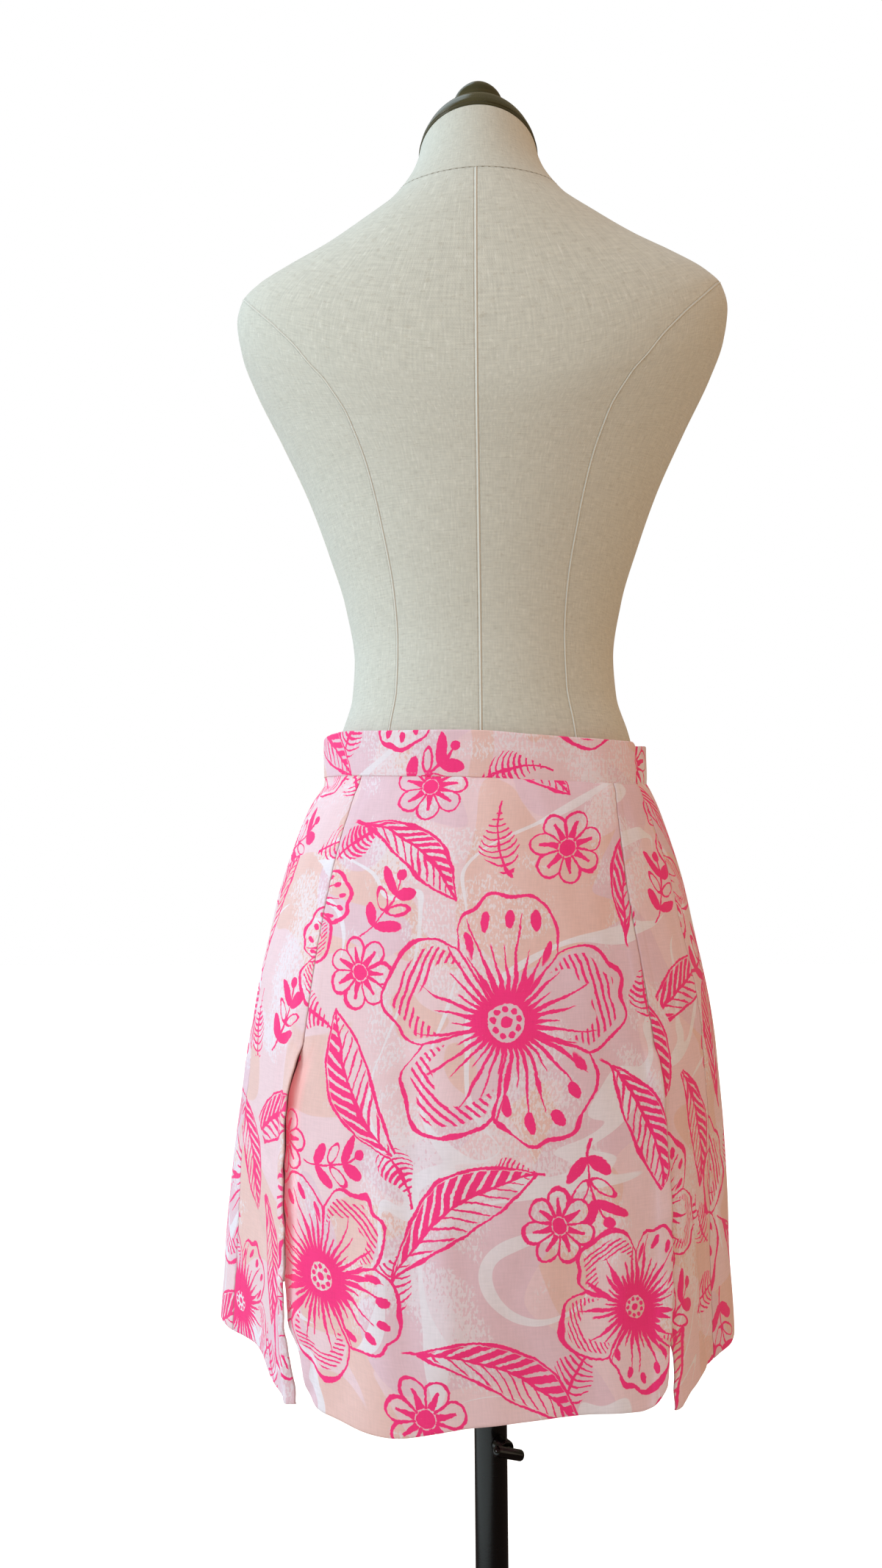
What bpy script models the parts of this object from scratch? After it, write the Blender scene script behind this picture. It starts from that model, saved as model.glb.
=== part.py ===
"""A skort on a limbless dress form, which stands on a round-based pole of adjustable height.

Metres, +Z up. The origin is on the floor at the middle of the base, under the pole. The skort's back, with
its two slits, faces -Y, and the wearer's front faces +Y. An angle round the body is 0 at the centre back and
grows towards +X, which is the wearer's right.
"""

import math
from collections import namedtuple

import bmesh
import bpy
import numpy as np
from mathutils import Matrix, Vector

# Skort: heights above the floor
BAND_TOP = 0.9945
BAND_BOTTOM = 0.9600
HEM_HEIGHT = 0.5250
SLIT_TOP = 0.7680
SHORTS_HEM = 0.6020
CROTCH_HEIGHT = 0.7000

# Skort: walls and clearances
BAND_WALL = 0.0025
CLOTH_WALL = 0.0012
SHORTS_WALL = 0.0011
SEAM_GAP = 0.0003
BAND_INSET = 0.00025
BAND_LIFT = 0.0039

# Skort: the panel that lies on top at a slit is lifted near its edge, from a little below the slit's top
LIP_LIFT = 0.0024
LIP_RUN = 0.0200
LIP_START = 0.7520

# Skort: waistband lap, as angles round the body
BAND_LAP_END = 61.5
BAND_UNDER_END = 46.0
BAND_LIFT_RUN = 34.0
BAND_CORNER = 0.0060
BAND_STEP = 0.0040
BAND_STEP_RUN = 50.0

# Skort: the skirt's rows are level from here to here, so that its panels' edges run side by side
LEVEL_TOP = 0.9350
LEVEL_END = 0.6050

# Skort: rounded hem corners of the centre panel
LEFT_CORNER = 0.016
RIGHT_CORNER = 0.020

# Shorts: how far the pole pushes the crotch over, the gap between the legs, and the left leg's flatter depth
CROTCH_SHIFT = 0.024
CROTCH_PUSH_TOP = 0.7920
LEG_CLOSE_TOP = 0.7720
LEG_CLOSED_ANGLE = 0.35
LEG_PARTING = 0.0040
LEFT_LEG_DEPTH = 0.93

# Dress form
FORM_BOTTOM = 0.7750
NECK_TOP = 1.5000
CAP_STRETCH = 1.19
CAP_SEAT = 0.0440
BUST_HEIGHT = 1.2330
BUST_ANGLE = 34.0
BUST_PUSH = 0.0250
BUST_RISE = 0.0620
BUST_SPREAD = 25.0

# Stand
BASE_RADIUS = 0.1700
BASE_COLLAR_TOP = 0.0180
TUBE_TOP = 0.4850
TUBE_RADIUS = 0.0130
TUBE_BORE = 0.0106
ROD_RADIUS = 0.0103
ROD_BOTTOM = 0.1600
FLANGE_RADIUS = 0.0480
FLANGE_THICKNESS = 0.0060

# Clamp on the tube
CLAMP_HEIGHT = 0.4420
CLAMP_ANGLE = 33.0
BOSS_RADIUS = 0.0068
BOSS_REACH = 0.0240
SCREW_RADIUS = 0.0032
BAR_RADIUS = 0.0041
BAR_LENGTH = 0.0280
BAR_REACH = 0.0305
BAR_SLIDE = -0.0030
BAR_TILT = 15.0

# A section is an oval ring. Its middle can lie to one side, and its back and front can dip below its sides.
Section = namedtuple("Section", "height half_width back_depth front_depth middle dip", defaults=(0.0, 0.0))
Seams = namedtuple("Seams", "height left_slit right_slit left_side right_side")
Laps = namedtuple("Laps", "height left right")
Fold = namedtuple("Fold", "angle spread push start")
BandDrop = namedtuple("BandDrop", "angle top bottom")
HemLevel = namedtuple("HemLevel", "angle rise")
Turned = namedtuple("Turned", "radius height")
Finish = namedtuple("Finish", "colour roughness metallic")

SKIRT_SECTIONS = (
    Section(0.9600, 0.1305, 0.0965, 0.0935, 0.0000),
    Section(0.9400, 0.1415, 0.1060, 0.1010, -0.0020),
    Section(0.9100, 0.1526, 0.1165, 0.1100, -0.0030),
    Section(0.8800, 0.1616, 0.1250, 0.1180, -0.0035),
    Section(0.8500, 0.1686, 0.1325, 0.1245, -0.0040),
    Section(0.8000, 0.1790, 0.1425, 0.1330, -0.0042),
    Section(0.7500, 0.1864, 0.1500, 0.1390, -0.0045),
    Section(0.7000, 0.1910, 0.1560, 0.1440, -0.0050),
    Section(0.6400, 0.1948, 0.1615, 0.1490, -0.0055),
    Section(0.5800, 0.1972, 0.1655, 0.1530, -0.0060),
    Section(0.5200, 0.1998, 0.1690, 0.1565, -0.0060),
)

SHORTS_SECTIONS = (
    Section(0.9600, 0.1290, 0.0950, 0.0920),
    Section(0.9300, 0.1395, 0.1045, 0.0995),
    Section(0.8800, 0.1550, 0.1185, 0.1120),
    Section(0.8200, 0.1670, 0.1270, 0.1200),
    Section(0.7700, 0.1690, 0.1260, 0.1180),
    Section(0.7000, 0.1690, 0.1120, 0.1060),
    Section(0.6000, 0.1720, 0.1120, 0.1060),
)

FORM_SECTIONS = (
    Section(1.5000, 0.0498, 0.0595, 0.0585),
    Section(1.4860, 0.0529, 0.0625, 0.0600, 0.0, 0.000),
    Section(1.4650, 0.0604, 0.0680, 0.0630, 0.0, 0.000),
    Section(1.4370, 0.0817, 0.0790, 0.0700, 0.0, 0.002),
    Section(1.4210, 0.1080, 0.0900, 0.0780, 0.0, 0.014),
    Section(1.4055, 0.1362, 0.0990, 0.0870, 0.0, 0.031),
    Section(1.3925, 0.1645, 0.1055, 0.0960, 0.0, 0.050),
    Section(1.3790, 0.1883, 0.1100, 0.1040, 0.0, 0.065),
    Section(1.3670, 0.2005, 0.1125, 0.1100, 0.0, 0.077),
    Section(1.3500, 0.2046, 0.1138, 0.1150, 0.0, 0.079),
    Section(1.3260, 0.2010, 0.1145, 0.1195, 0.0, 0.072),
    Section(1.2950, 0.1895, 0.1145, 0.1215, 0.0, 0.052),
    Section(1.2480, 0.1664, 0.1125, 0.1225, 0.0, 0.024),
    Section(1.2000, 0.1442, 0.1070, 0.1200, 0.0, 0.006),
    Section(1.1540, 0.1274, 0.1000, 0.1110),
    Section(1.1080, 0.1132, 0.0920, 0.0980),
    Section(1.0620, 0.1060, 0.0870, 0.0890),
    Section(1.0310, 0.1080, 0.0870, 0.0870),
    Section(1.0010, 0.1170, 0.0885, 0.0875),
    Section(0.9540, 0.1286, 0.0946, 0.0916),
    Section(0.9200, 0.1370, 0.1000, 0.0965),
    Section(0.8800, 0.1475, 0.1080, 0.1030),
    Section(0.8400, 0.1545, 0.1145, 0.1085),
    Section(0.8000, 0.1570, 0.1165, 0.1100),
    Section(0.7820, 0.1530, 0.1130, 0.1065),
    Section(0.7750, 0.1440, 0.1050, 0.0990),
)

# Angles of the seams. Below the slits' tops these are the edges of the panels that lie on top.
SEAM_ANGLES = (
    Seams(0.9600, -45.5, 47.6, -76.0, 65.0),
    Seams(0.9300, -43.4, 45.2, -76.0, 65.0),
    Seams(0.8700, -43.1, 42.4, -75.0, 65.0),
    Seams(0.7680, -43.2, 43.1, -75.0, 66.0),
    Seams(0.7500, -43.6, 43.7, -75.0, 66.0),
    Seams(0.7160, -45.0, 44.0, -76.0, 66.5),
    Seams(0.6780, -44.4, 44.1, -77.0, 67.0),
    Seams(0.6250, -42.6, 43.8, -77.5, 67.0),
    Seams(0.5700, -42.2, 42.1, -78.0, 67.0),
    Seams(0.5200, -39.0, 39.2, -78.0, 67.0),
)

# How far the lower panel reaches under the edge of the upper one. Less than 0 is a gap.
SLIT_LAPS = (
    Laps(0.9600, -0.00015, -0.00015),
    Laps(0.7500, -0.00015, -0.00015),
    Laps(0.7200, 0.0030, 0.0030),
    Laps(0.6000, 0.0040, 0.0040),
    Laps(0.5740, -0.0020, 0.0000),
    Laps(0.5540, -0.0100, -0.0085),
    Laps(0.5200, -0.0130, -0.0130),
)

SKIRT_FOLDS = (
    Fold(-94.0, 15.0, 0.013, 0.86),
    Fold(-64.0, 15.0, -0.015, 0.84),
    Fold(-16.0, 12.0, 0.011, 0.80),
    Fold(20.0, 13.0, -0.007, 0.80),
    Fold(64.0, 14.0, -0.013, 0.84),
    Fold(98.0, 14.0, -0.003, 0.86),
    Fold(128.0, 13.0, 0.009, 0.84),
    Fold(156.0, 12.0, -0.006, 0.80),
    Fold(-176.0, 14.0, 0.008, 0.80),
    Fold(-147.0, 12.0, -0.006, 0.82),
    Fold(-122.0, 11.0, 0.005, 0.84),
)

# The band sits a little askew: higher at the wearer's left and lower at the right.
BAND_DROPS = (
    BandDrop(-180.0, 0.0000, 0.0000),
    BandDrop(-130.0, -0.0020, -0.0030),
    BandDrop(-84.0, -0.0030, -0.0058),
    BandDrop(-60.0, -0.0050, -0.0048),
    BandDrop(-30.0, -0.0020, -0.0018),
    BandDrop(0.0, 0.0000, 0.0008),
    BandDrop(18.0, 0.0033, 0.0037),
    BandDrop(50.0, 0.0059, 0.0057),
    BandDrop(66.0, 0.0057, 0.0048),
    BandDrop(84.0, 0.0052, 0.0030),
    BandDrop(130.0, 0.0020, 0.0012),
    BandDrop(180.0, 0.0000, 0.0000),
)

HEM_LEVELS = (
    HemLevel(-180.0, 0.003),
    HemLevel(-94.0, 0.008),
    HemLevel(-64.0, 0.011),
    HemLevel(-48.0, 0.002),
    HemLevel(-41.0, -0.002),
    HemLevel(-34.0, 0.000),
    HemLevel(-16.0, -0.003),
    HemLevel(0.0, 0.003),
    HemLevel(16.0, 0.004),
    HemLevel(38.0, 0.000),
    HemLevel(44.5, -0.005),
    HemLevel(51.0, 0.001),
    HemLevel(66.0, 0.005),
    HemLevel(98.0, 0.008),
    HemLevel(180.0, 0.003),
)

CAP_PROFILE = (
    Turned(0.0, 0.0440),
    Turned(0.0215, 0.0440),
    Turned(0.0275, 0.0412),
    Turned(0.0365, 0.0345),
    Turned(0.0440, 0.0240),
    Turned(0.0485, 0.0120),
    Turned(0.0496, 0.0000),
    Turned(0.0, 0.0000),
)

KNOB_PROFILE = (
    Turned(0.0, 0.0165),
    Turned(0.0065, 0.0160),
    Turned(0.0115, 0.0130),
    Turned(0.0155, 0.0080),
    Turned(0.0190, 0.0030),
    Turned(0.0202, 0.0000),
    Turned(0.0, 0.0000),
)

BASE_PROFILE = (
    Turned(0.0, BASE_COLLAR_TOP),
    Turned(0.0190, BASE_COLLAR_TOP),
    Turned(0.0210, 0.0165),
    Turned(0.0240, 0.0115),
    Turned(0.0340, 0.0095),
    Turned(BASE_RADIUS - 0.0060, 0.0075),
    Turned(BASE_RADIUS - 0.0012, 0.0062),
    Turned(BASE_RADIUS, 0.0040),
    Turned(BASE_RADIUS, 0.0000),
    Turned(0.0, 0.0000),
)

FINISHES = {
    "printed_cloth": Finish((0.92, 0.62, 0.64), 0.75, 0.0),
    "shorts_cloth": Finish((0.93, 0.70, 0.71), 0.80, 0.0),
    "linen": Finish((0.70, 0.66, 0.55), 0.90, 0.0),
    "cap_gloss": Finish((0.12, 0.10, 0.05), 0.25, 0.0),
    "pole_black": Finish((0.02, 0.02, 0.02), 0.35, 0.8),
    "hook_steel": Finish((0.60, 0.60, 0.60), 0.30, 1.0),
}


def smooth_step(value):
    """0 below 0 and 1 above 1, with a soft start and end between."""
    value = min(max(value, 0.0), 1.0)
    return value * value * (3.0 - 2.0 * value)


def smooth_curve(keys, values, key):
    """Value at key of a smooth curve through the points, with no overshoot. The keys rise."""
    steps = np.diff(values) / np.diff(keys)
    same_way = steps[:-1] * steps[1:] > 0
    sums = np.where(same_way, steps[:-1] + steps[1:], 1.0)
    inner = np.where(same_way, 2 * steps[:-1] * steps[1:] / sums, 0.0)
    slopes = np.concatenate([steps[:1], inner, steps[-1:]])
    i = int(np.clip(np.searchsorted(keys, key) - 1, 0, len(keys) - 2))
    width = keys[i + 1] - keys[i]
    t = min(max((key - keys[i]) / width, 0.0), 1.0)
    start = values[i] + width * slopes[i] * t * (1 - t) ** 2
    end = (values[i + 1] - values[i]) * smooth_step(t) - width * slopes[i + 1] * t * t * (1 - t)
    return float(start + end)


class SmoothTable:
    """Rows of named columns, read at any value of the first column by smooth curves."""

    def __init__(self, rows):
        self.kind = type(rows[0])
        numbers = np.array(sorted(rows))
        self.keys = numbers[:, 0]
        self.columns = numbers[:, 1:].T

    def at(self, key):
        return self.kind(key, *(smooth_curve(self.keys, column, key) for column in self.columns))


SKIRT = SmoothTable(SKIRT_SECTIONS)
SHORTS = SmoothTable(SHORTS_SECTIONS)
SEAM_LINES = SmoothTable(SEAM_ANGLES)
LAP_LINES = SmoothTable(SLIT_LAPS)
BAND_LINE = SmoothTable(BAND_DROPS)
HEM_LINE = SmoothTable(HEM_LEVELS)


def oval_point(section, angle):
    """Point of an oval ring at an angle in degrees."""
    turn = math.radians(angle)
    depth = section.back_depth if math.cos(turn) > 0 else section.front_depth
    height = section.height - section.dip * math.cos(turn) ** 2
    return Vector((section.middle + section.half_width * math.sin(turn), -depth * math.cos(turn), height))


def oval_outward(section, angle):
    """Unit vector in plan that points straight out of an oval ring."""
    turn = math.radians(angle)
    depth = section.back_depth if math.cos(turn) > 0 else section.front_depth
    return Vector((math.sin(turn) / section.half_width, -math.cos(turn) / depth, 0.0)).normalized()


def turn_by(section, angle, distance):
    """The angle reached by going a distance along an oval ring."""
    turn = math.radians(angle)
    depth = section.back_depth if math.cos(turn) > 0 else section.front_depth
    run = math.hypot(section.half_width * math.cos(turn), depth * math.sin(turn))
    return angle + math.degrees(distance / run)


def wrapped(angle):
    """The same angle between -180 and 180 degrees."""
    return (angle + 180.0) % 360.0 - 180.0


def skirt_fall(height, start):
    """0 above the start height, growing to 1 at the hem."""
    return smooth_step((start - height) / (start - HEM_HEIGHT))


def fold_push(angle, height):
    """How far the skirt's folds push it outwards."""
    push = 0.0
    for fold in SKIRT_FOLDS:
        away = wrapped(angle - fold.angle) / fold.spread
        push += fold.push * skirt_fall(height, fold.start) * math.exp(-away * away)
    return push


def skirt_point(angle, height, lift=0.0):
    """Point on the middle of the skirt's cloth."""
    section = SKIRT.at(height)
    return oval_point(section, angle) + oval_outward(section, angle) * (fold_push(angle, height) + lift)


def band_bottom(angle):
    """Height of the band's lower edge, where the skirt's and the shorts' cloth meet it."""
    return BAND_BOTTOM - BAND_LINE.at(wrapped(angle)).bottom


def hem_height(angle):
    return HEM_HEIGHT + HEM_LINE.at(wrapped(angle)).rise


def slit_edge(height, side, on_top):
    """Angle of a panel's edge along a slit.

    At the left slit the side panel lies on top, and at the right slit the centre panel does.
    """
    seams, laps, ring = SEAM_LINES.at(height), LAP_LINES.at(height), SKIRT.at(height)
    angle = seams.left_slit if side == "left" else seams.right_slit
    if on_top:
        return turn_by(ring, angle, -SEAM_GAP / 2)
    lap = laps.left if side == "left" else laps.right
    return turn_by(ring, angle, -lap)


def side_edge(height, side, step):
    """Angle of a panel's edge along a side seam, half a seam gap before it, or after it where step is 1."""
    seams = SEAM_LINES.at(height)
    angle = seams.left_side if side == "left" else seams.right_side
    return turn_by(SKIRT.at(height), angle, step * SEAM_GAP / 2)


def lip_lift(height, distance):
    """Lift of the panel that lies on top, at a distance from its slit edge."""
    near_edge = smooth_step(1.0 - distance / LIP_RUN)
    return LIP_LIFT * near_edge * smooth_step((SLIT_TOP - height) / (SLIT_TOP - LIP_START))


def corner_rise(distance, radius):
    """Rise of a hem near a rounded corner of this radius, at a distance from the panel's edge."""
    if radius <= 0.0 or distance >= radius:
        return 0.0
    return radius - math.sqrt(max(radius**2 - (radius - distance) ** 2, 0.0))


def spread_columns(count, edge_columns):
    """Places from 0 to 1 across a panel, with more of them near both edges."""
    inside = np.linspace(edge_columns[-1], 1.0 - edge_columns[-1], count)
    return [*edge_columns[:-1], *inside, *(1.0 - np.array(edge_columns[:-1]))[::-1]]


def level_rows(top, bottom):
    """Heights of a panel's rows, which are level between its curved top and its hem."""
    above = np.linspace(LEVEL_TOP, SLIT_TOP, 8)
    beside_slit = np.linspace(LIP_START, LEVEL_END, 8)
    to_hem = np.linspace(LEVEL_END, bottom, 6)[1:]
    return [top, *above, *beside_slit, *to_hem]


def panel_grid(columns, left_edge, right_edge, corners=(0.0, 0.0), lifted=False):
    """Rows of points of a skirt panel between two edges, each a function that gives an angle for a height.

    The corners are the radii of its hem's corners. A lifted panel lies on top at its right edge.
    """
    hem_turn = math.radians(right_edge(HEM_HEIGHT) - left_edge(HEM_HEIGHT))
    hem_width = hem_turn * SKIRT.at(HEM_HEIGHT).half_width
    lines = []
    for u in columns:
        top_angle = left_edge(BAND_BOTTOM) * (1 - u) + right_edge(BAND_BOTTOM) * u
        hem_angle = left_edge(HEM_HEIGHT) * (1 - u) + right_edge(HEM_HEIGHT) * u
        to_left, to_right = u * hem_width, (1 - u) * hem_width
        rise = corner_rise(to_left, corners[0]) + corner_rise(to_right, corners[1])
        line = []
        for height in level_rows(band_bottom(top_angle) - SEAM_GAP, hem_height(hem_angle) + rise):
            angle = left_edge(height) * (1 - u) + right_edge(height) * u
            lift = lip_lift(height, to_right) if lifted else 0.0
            line.append(skirt_point(angle, height, lift))
        lines.append(line)
    return list(zip(*lines))


def finish_material(name):
    """The named finish as a material, made once."""
    found = bpy.data.materials.get(name)
    if found:
        return found
    finish = FINISHES[name]
    material = bpy.data.materials.new(name)
    material.use_nodes = True
    shader = material.node_tree.nodes["Principled BSDF"]
    shader.inputs["Base Color"].default_value = (*finish.colour, 1.0)
    shader.inputs["Roughness"].default_value = finish.roughness
    shader.inputs["Metallic"].default_value = finish.metallic
    material.diffuse_color = (*finish.colour, 1.0)
    return material


def add_object(name, mesh, finish, collection, parent=None):
    """A shaded object of this mesh in the collection, under its parent."""
    mesh.shade_smooth()
    mesh.set_sharp_from_angle(angle=math.radians(40))
    obj = bpy.data.objects.new(name, mesh)
    mesh.materials.append(finish_material(finish))
    collection.objects.link(obj)
    obj.parent = parent
    return obj


def grid_mesh(name, grid):
    """An open sheet through rows of points. Its faces point out of the body."""
    columns = len(grid[0])
    points = [point for line in grid for point in line]
    faces = []
    for row in range(len(grid) - 1):
        for column in range(columns - 1):
            corner = row * columns + column
            faces.append((corner, corner + columns, corner + columns + 1, corner + 1))
    mesh = bpy.data.meshes.new(name)
    mesh.from_pydata(points, [], faces)
    return mesh


def cloth_object(name, grid, wall, finish, collection, parent):
    """A sheet of cloth with its wall to both sides of the points."""
    obj = add_object(name, grid_mesh(name, grid), finish, collection, parent)
    solidify = obj.modifiers.new("wall", "SOLIDIFY")
    solidify.thickness = wall
    solidify.offset = 0.0
    solidify.use_even_offset = True
    return obj


def back_center_panel(collection, parent):
    grid = panel_grid(
        spread_columns(13, (0.0, 0.012, 0.035, 0.075)),
        lambda height: slit_edge(height, "left", on_top=False),
        lambda height: slit_edge(height, "right", on_top=True),
        corners=(LEFT_CORNER, RIGHT_CORNER),
        lifted=True,
    )
    return cloth_object("back_center_panel", grid, CLOTH_WALL, "printed_cloth", collection, parent)


def back_side_panel(side, collection, parent):
    if side == "left":
        edges = (
            lambda height: side_edge(height, "left", 1),
            lambda height: slit_edge(height, "left", on_top=True),
        )
    else:
        edges = (
            lambda height: slit_edge(height, "right", on_top=False),
            lambda height: side_edge(height, "right", -1),
        )
    grid = panel_grid(spread_columns(6, (0.0, 0.08)), *edges, lifted=side == "left")
    return cloth_object(f"back_side_panel_{side}", grid, CLOTH_WALL, "printed_cloth", collection, parent)


def front_panel(collection, parent):
    grid = panel_grid(
        np.linspace(0.0, 1.0, 31),
        lambda height: side_edge(height, "right", 1),
        lambda height: side_edge(height, "left", -1) + 360.0,
    )
    return cloth_object("front_panel", grid, CLOTH_WALL, "printed_cloth", collection, parent)


def leg_point(side, height, along):
    """Point of one leg of the shorts. Along runs from -1 to 1: centre back, outer side, centre front.

    A section is an arc of an oval whose ends are at the middle of the body. It is half an oval at the hip,
    and it closes to a whole one below the crotch, beside the pole.
    """
    section = SHORTS.at(height)
    closing = smooth_step((LEG_CLOSE_TOP - height) / (LEG_CLOSE_TOP - CROTCH_HEIGHT))
    end_turn = math.radians(90.0 * (1.0 - closing) + LEG_CLOSED_ANGLE * closing)
    pushed = CROTCH_SHIFT * smooth_step((CROTCH_PUSH_TOP - height) / (CROTCH_PUSH_TOP - CROTCH_HEIGHT))
    outward = 1.0 if side == "right" else -1.0
    squash = 1.0 - (1.0 - LEFT_LEG_DEPTH) * closing * (side == "left")
    parting = SEAM_GAP / 2 + SHORTS_WALL / 2 * math.cos(end_turn) + LEG_PARTING * closing
    middle = outward * pushed + parting
    half_width = (section.half_width - middle) / (1.0 + math.cos(end_turn))
    turn = along * (math.pi - end_turn)
    depth = (section.back_depth if along < 0 else section.front_depth) * squash
    across = middle + half_width * (math.cos(end_turn) + math.cos(turn))
    return Vector((outward * across, depth * math.sin(turn), height))


def shorts_leg(side, collection, parent):
    places = np.linspace(-1.0, 1.0, 23)
    if side == "left":
        places = places[::-1]
    lines = []
    for along in places:
        band_angle = 90.0 * (1.0 + along) if side == "right" else -90.0 * (1.0 + along)
        top = band_bottom(band_angle) - SEAM_GAP
        heights = [*np.linspace(top, LEG_CLOSE_TOP, 7)[:-1], *np.linspace(LEG_CLOSE_TOP, SHORTS_HEM, 8)]
        lines.append([leg_point(side, height, along) for height in heights])
    return cloth_object(f"shorts_{side}", list(zip(*lines)), SHORTS_WALL, "shorts_cloth", collection, parent)


def band_lift(angle):
    """Outward lift of the band's lapping end over the other end."""
    return BAND_LIFT * smooth_step((angle - (BAND_LAP_END - BAND_LIFT_RUN)) / (BAND_LIFT_RUN / 2))


def band_top(angle):
    """Height of the band's top edge. The lapping end has a rounded corner, and the other end sits lower."""
    to_end = math.radians(BAND_LAP_END + 360.0 - angle) * SKIRT_SECTIONS[0].half_width
    under_step = BAND_STEP * smooth_step((BAND_UNDER_END + BAND_STEP_RUN - angle) / BAND_STEP_RUN)
    return BAND_TOP - BAND_LINE.at(wrapped(angle)).top - under_step - corner_rise(to_end, BAND_CORNER)


def waistband(collection, parent):
    """The band starts under its own end at the wearer's right side and goes once round by the front."""
    ring = SKIRT_SECTIONS[0]
    end = BAND_LAP_END + 360.0
    angles = [*np.linspace(BAND_UNDER_END, end - 4.0, 86), end - 2.4, end - 1.0, end - 0.25, end]
    grid = []
    for v in (1.0, 0.5, 0.0):
        line = []
        for angle in angles:
            lift = band_lift(angle - 360.0) if angle > 360.0 else 0.0
            point = oval_point(ring, angle) + oval_outward(ring, angle) * (lift - BAND_INSET)
            point.z = band_bottom(angle) * (1 - v) + band_top(angle) * v
            line.append(point)
        grid.append(line)
    return cloth_object("waistband", grid, BAND_WALL, "printed_cloth", collection, parent)


def loft_mesh(name, rings):
    """A closed body through rings of as many points each, from the top down, with flat ends."""
    count = len(rings[0])
    points = [point for ring in rings for point in ring]
    faces = [tuple(range(count))]
    for row in range(len(rings) - 1):
        for column in range(count):
            after = (column + 1) % count
            top, low = row * count, (row + 1) * count
            faces.append((top + column, low + column, low + after, top + after))
    faces.append(tuple(reversed(range((len(rings) - 1) * count, len(rings) * count))))
    mesh = bpy.data.meshes.new(name)
    mesh.from_pydata(points, [], faces)
    return mesh


def bust_push(angle, height):
    """How far the form's plain, general bust pushes its front outwards."""
    up = (height - BUST_HEIGHT) / BUST_RISE
    across = (abs(wrapped(angle - 180.0)) - BUST_ANGLE) / BUST_SPREAD
    return BUST_PUSH * math.exp(-up * up - across * across)


def torso(collection, parent):
    rings = []
    for section in FORM_SECTIONS:
        ring = []
        for angle in np.arange(0.0, 360.0, 9.0):
            push = bust_push(angle, section.height)
            ring.append(oval_point(section, angle) + oval_outward(section, angle) * push)
        rings.append(ring)
    return add_object("torso", loft_mesh("torso", rings), "linen", collection, parent)


def turned_object(name, profile, steps, finish, collection, parent, lift=0.0):
    """A turned piece from a profile that runs down its outer side."""
    mesh = bpy.data.meshes.new(name)
    points = [(point.radius, 0.0, point.height + lift) for point in profile]
    mesh.from_pydata(points, [(i, i + 1) for i in range(len(points) - 1)], [])
    obj = add_object(name, mesh, finish, collection, parent)
    screw = obj.modifiers.new("turn", "SCREW")
    screw.steps = screw.render_steps = steps
    screw.use_merge_vertices = True
    screw.merge_threshold = 0.00001
    return obj


def stand_tube(collection, parent):
    """The outer tube, open at both ends."""
    bottom = BASE_COLLAR_TOP + SEAM_GAP
    corners = ((TUBE_RADIUS, TUBE_TOP), (TUBE_RADIUS, bottom), (TUBE_BORE, bottom), (TUBE_BORE, TUBE_TOP))
    profile = [Turned(*corner) for corner in (*corners, corners[0])]
    return turned_object("stand_tube", profile, 28, "pole_black", collection, parent)


def form_rod(collection, parent):
    """The inner rod, which slides in the tube, with the flange that carries the form."""
    top = FORM_BOTTOM - SEAM_GAP
    profile = (
        Turned(0.0, top),
        Turned(FLANGE_RADIUS, top),
        Turned(FLANGE_RADIUS, top - FLANGE_THICKNESS),
        Turned(ROD_RADIUS + 0.006, top - FLANGE_THICKNESS),
        Turned(ROD_RADIUS, top - FLANGE_THICKNESS - 0.008),
        Turned(ROD_RADIUS, ROD_BOTTOM + 0.002),
        Turned(ROD_RADIUS - 0.002, ROD_BOTTOM),
        Turned(0.0, ROD_BOTTOM),
    )
    return turned_object("form_rod", profile, 28, "pole_black", collection, parent)


def cylinder_mesh(name, radius, length, segments, place):
    """A closed cylinder along Z, centred, then moved by a matrix."""
    shape = bmesh.new()
    bmesh.ops.create_cone(
        shape,
        cap_ends=True,
        segments=segments,
        radius1=radius,
        radius2=radius,
        depth=length,
        matrix=place,
    )
    mesh = bpy.data.meshes.new(name)
    shape.to_mesh(mesh)
    shape.free()
    return mesh


def helper_object(name, mesh, helpers, parent):
    """A body that only cuts or joins another one."""
    obj = bpy.data.objects.new(name, mesh)
    helpers.objects.link(obj)
    obj.parent = parent
    obj.hide_render = True
    obj.display_type = "WIRE"
    return obj


def add_boolean(obj, other, operation):
    boolean = obj.modifiers.new(operation.lower(), "BOOLEAN")
    boolean.operation = operation
    boolean.object = other
    boolean.solver = "EXACT"


def along_clamp(distance):
    """Matrix of a cylinder along the clamp's axis, the parent's X, at a distance from the parent."""
    return Matrix.Translation((distance, 0.0, 0.0)) @ Matrix.Rotation(math.radians(90), 4, "Y")


def clamp_boss(collection, helpers, parent):
    """The threaded boss on the side of the tube, with its inner end shaped to the tube."""
    inner = TUBE_RADIUS * 0.7
    place = along_clamp((BOSS_REACH + inner) / 2)
    mesh = cylinder_mesh("clamp_boss", BOSS_RADIUS, BOSS_REACH - inner, 24, place)
    obj = add_object("clamp_boss", mesh, "pole_black", collection, parent)
    cutter_mesh = cylinder_mesh("tube_cutter", TUBE_RADIUS + SEAM_GAP, 0.06, 28, Matrix.Identity(4))
    cutter = helper_object("tube_cutter", cutter_mesh, helpers, parent)
    add_boolean(obj, cutter, "DIFFERENCE")
    return obj


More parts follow.
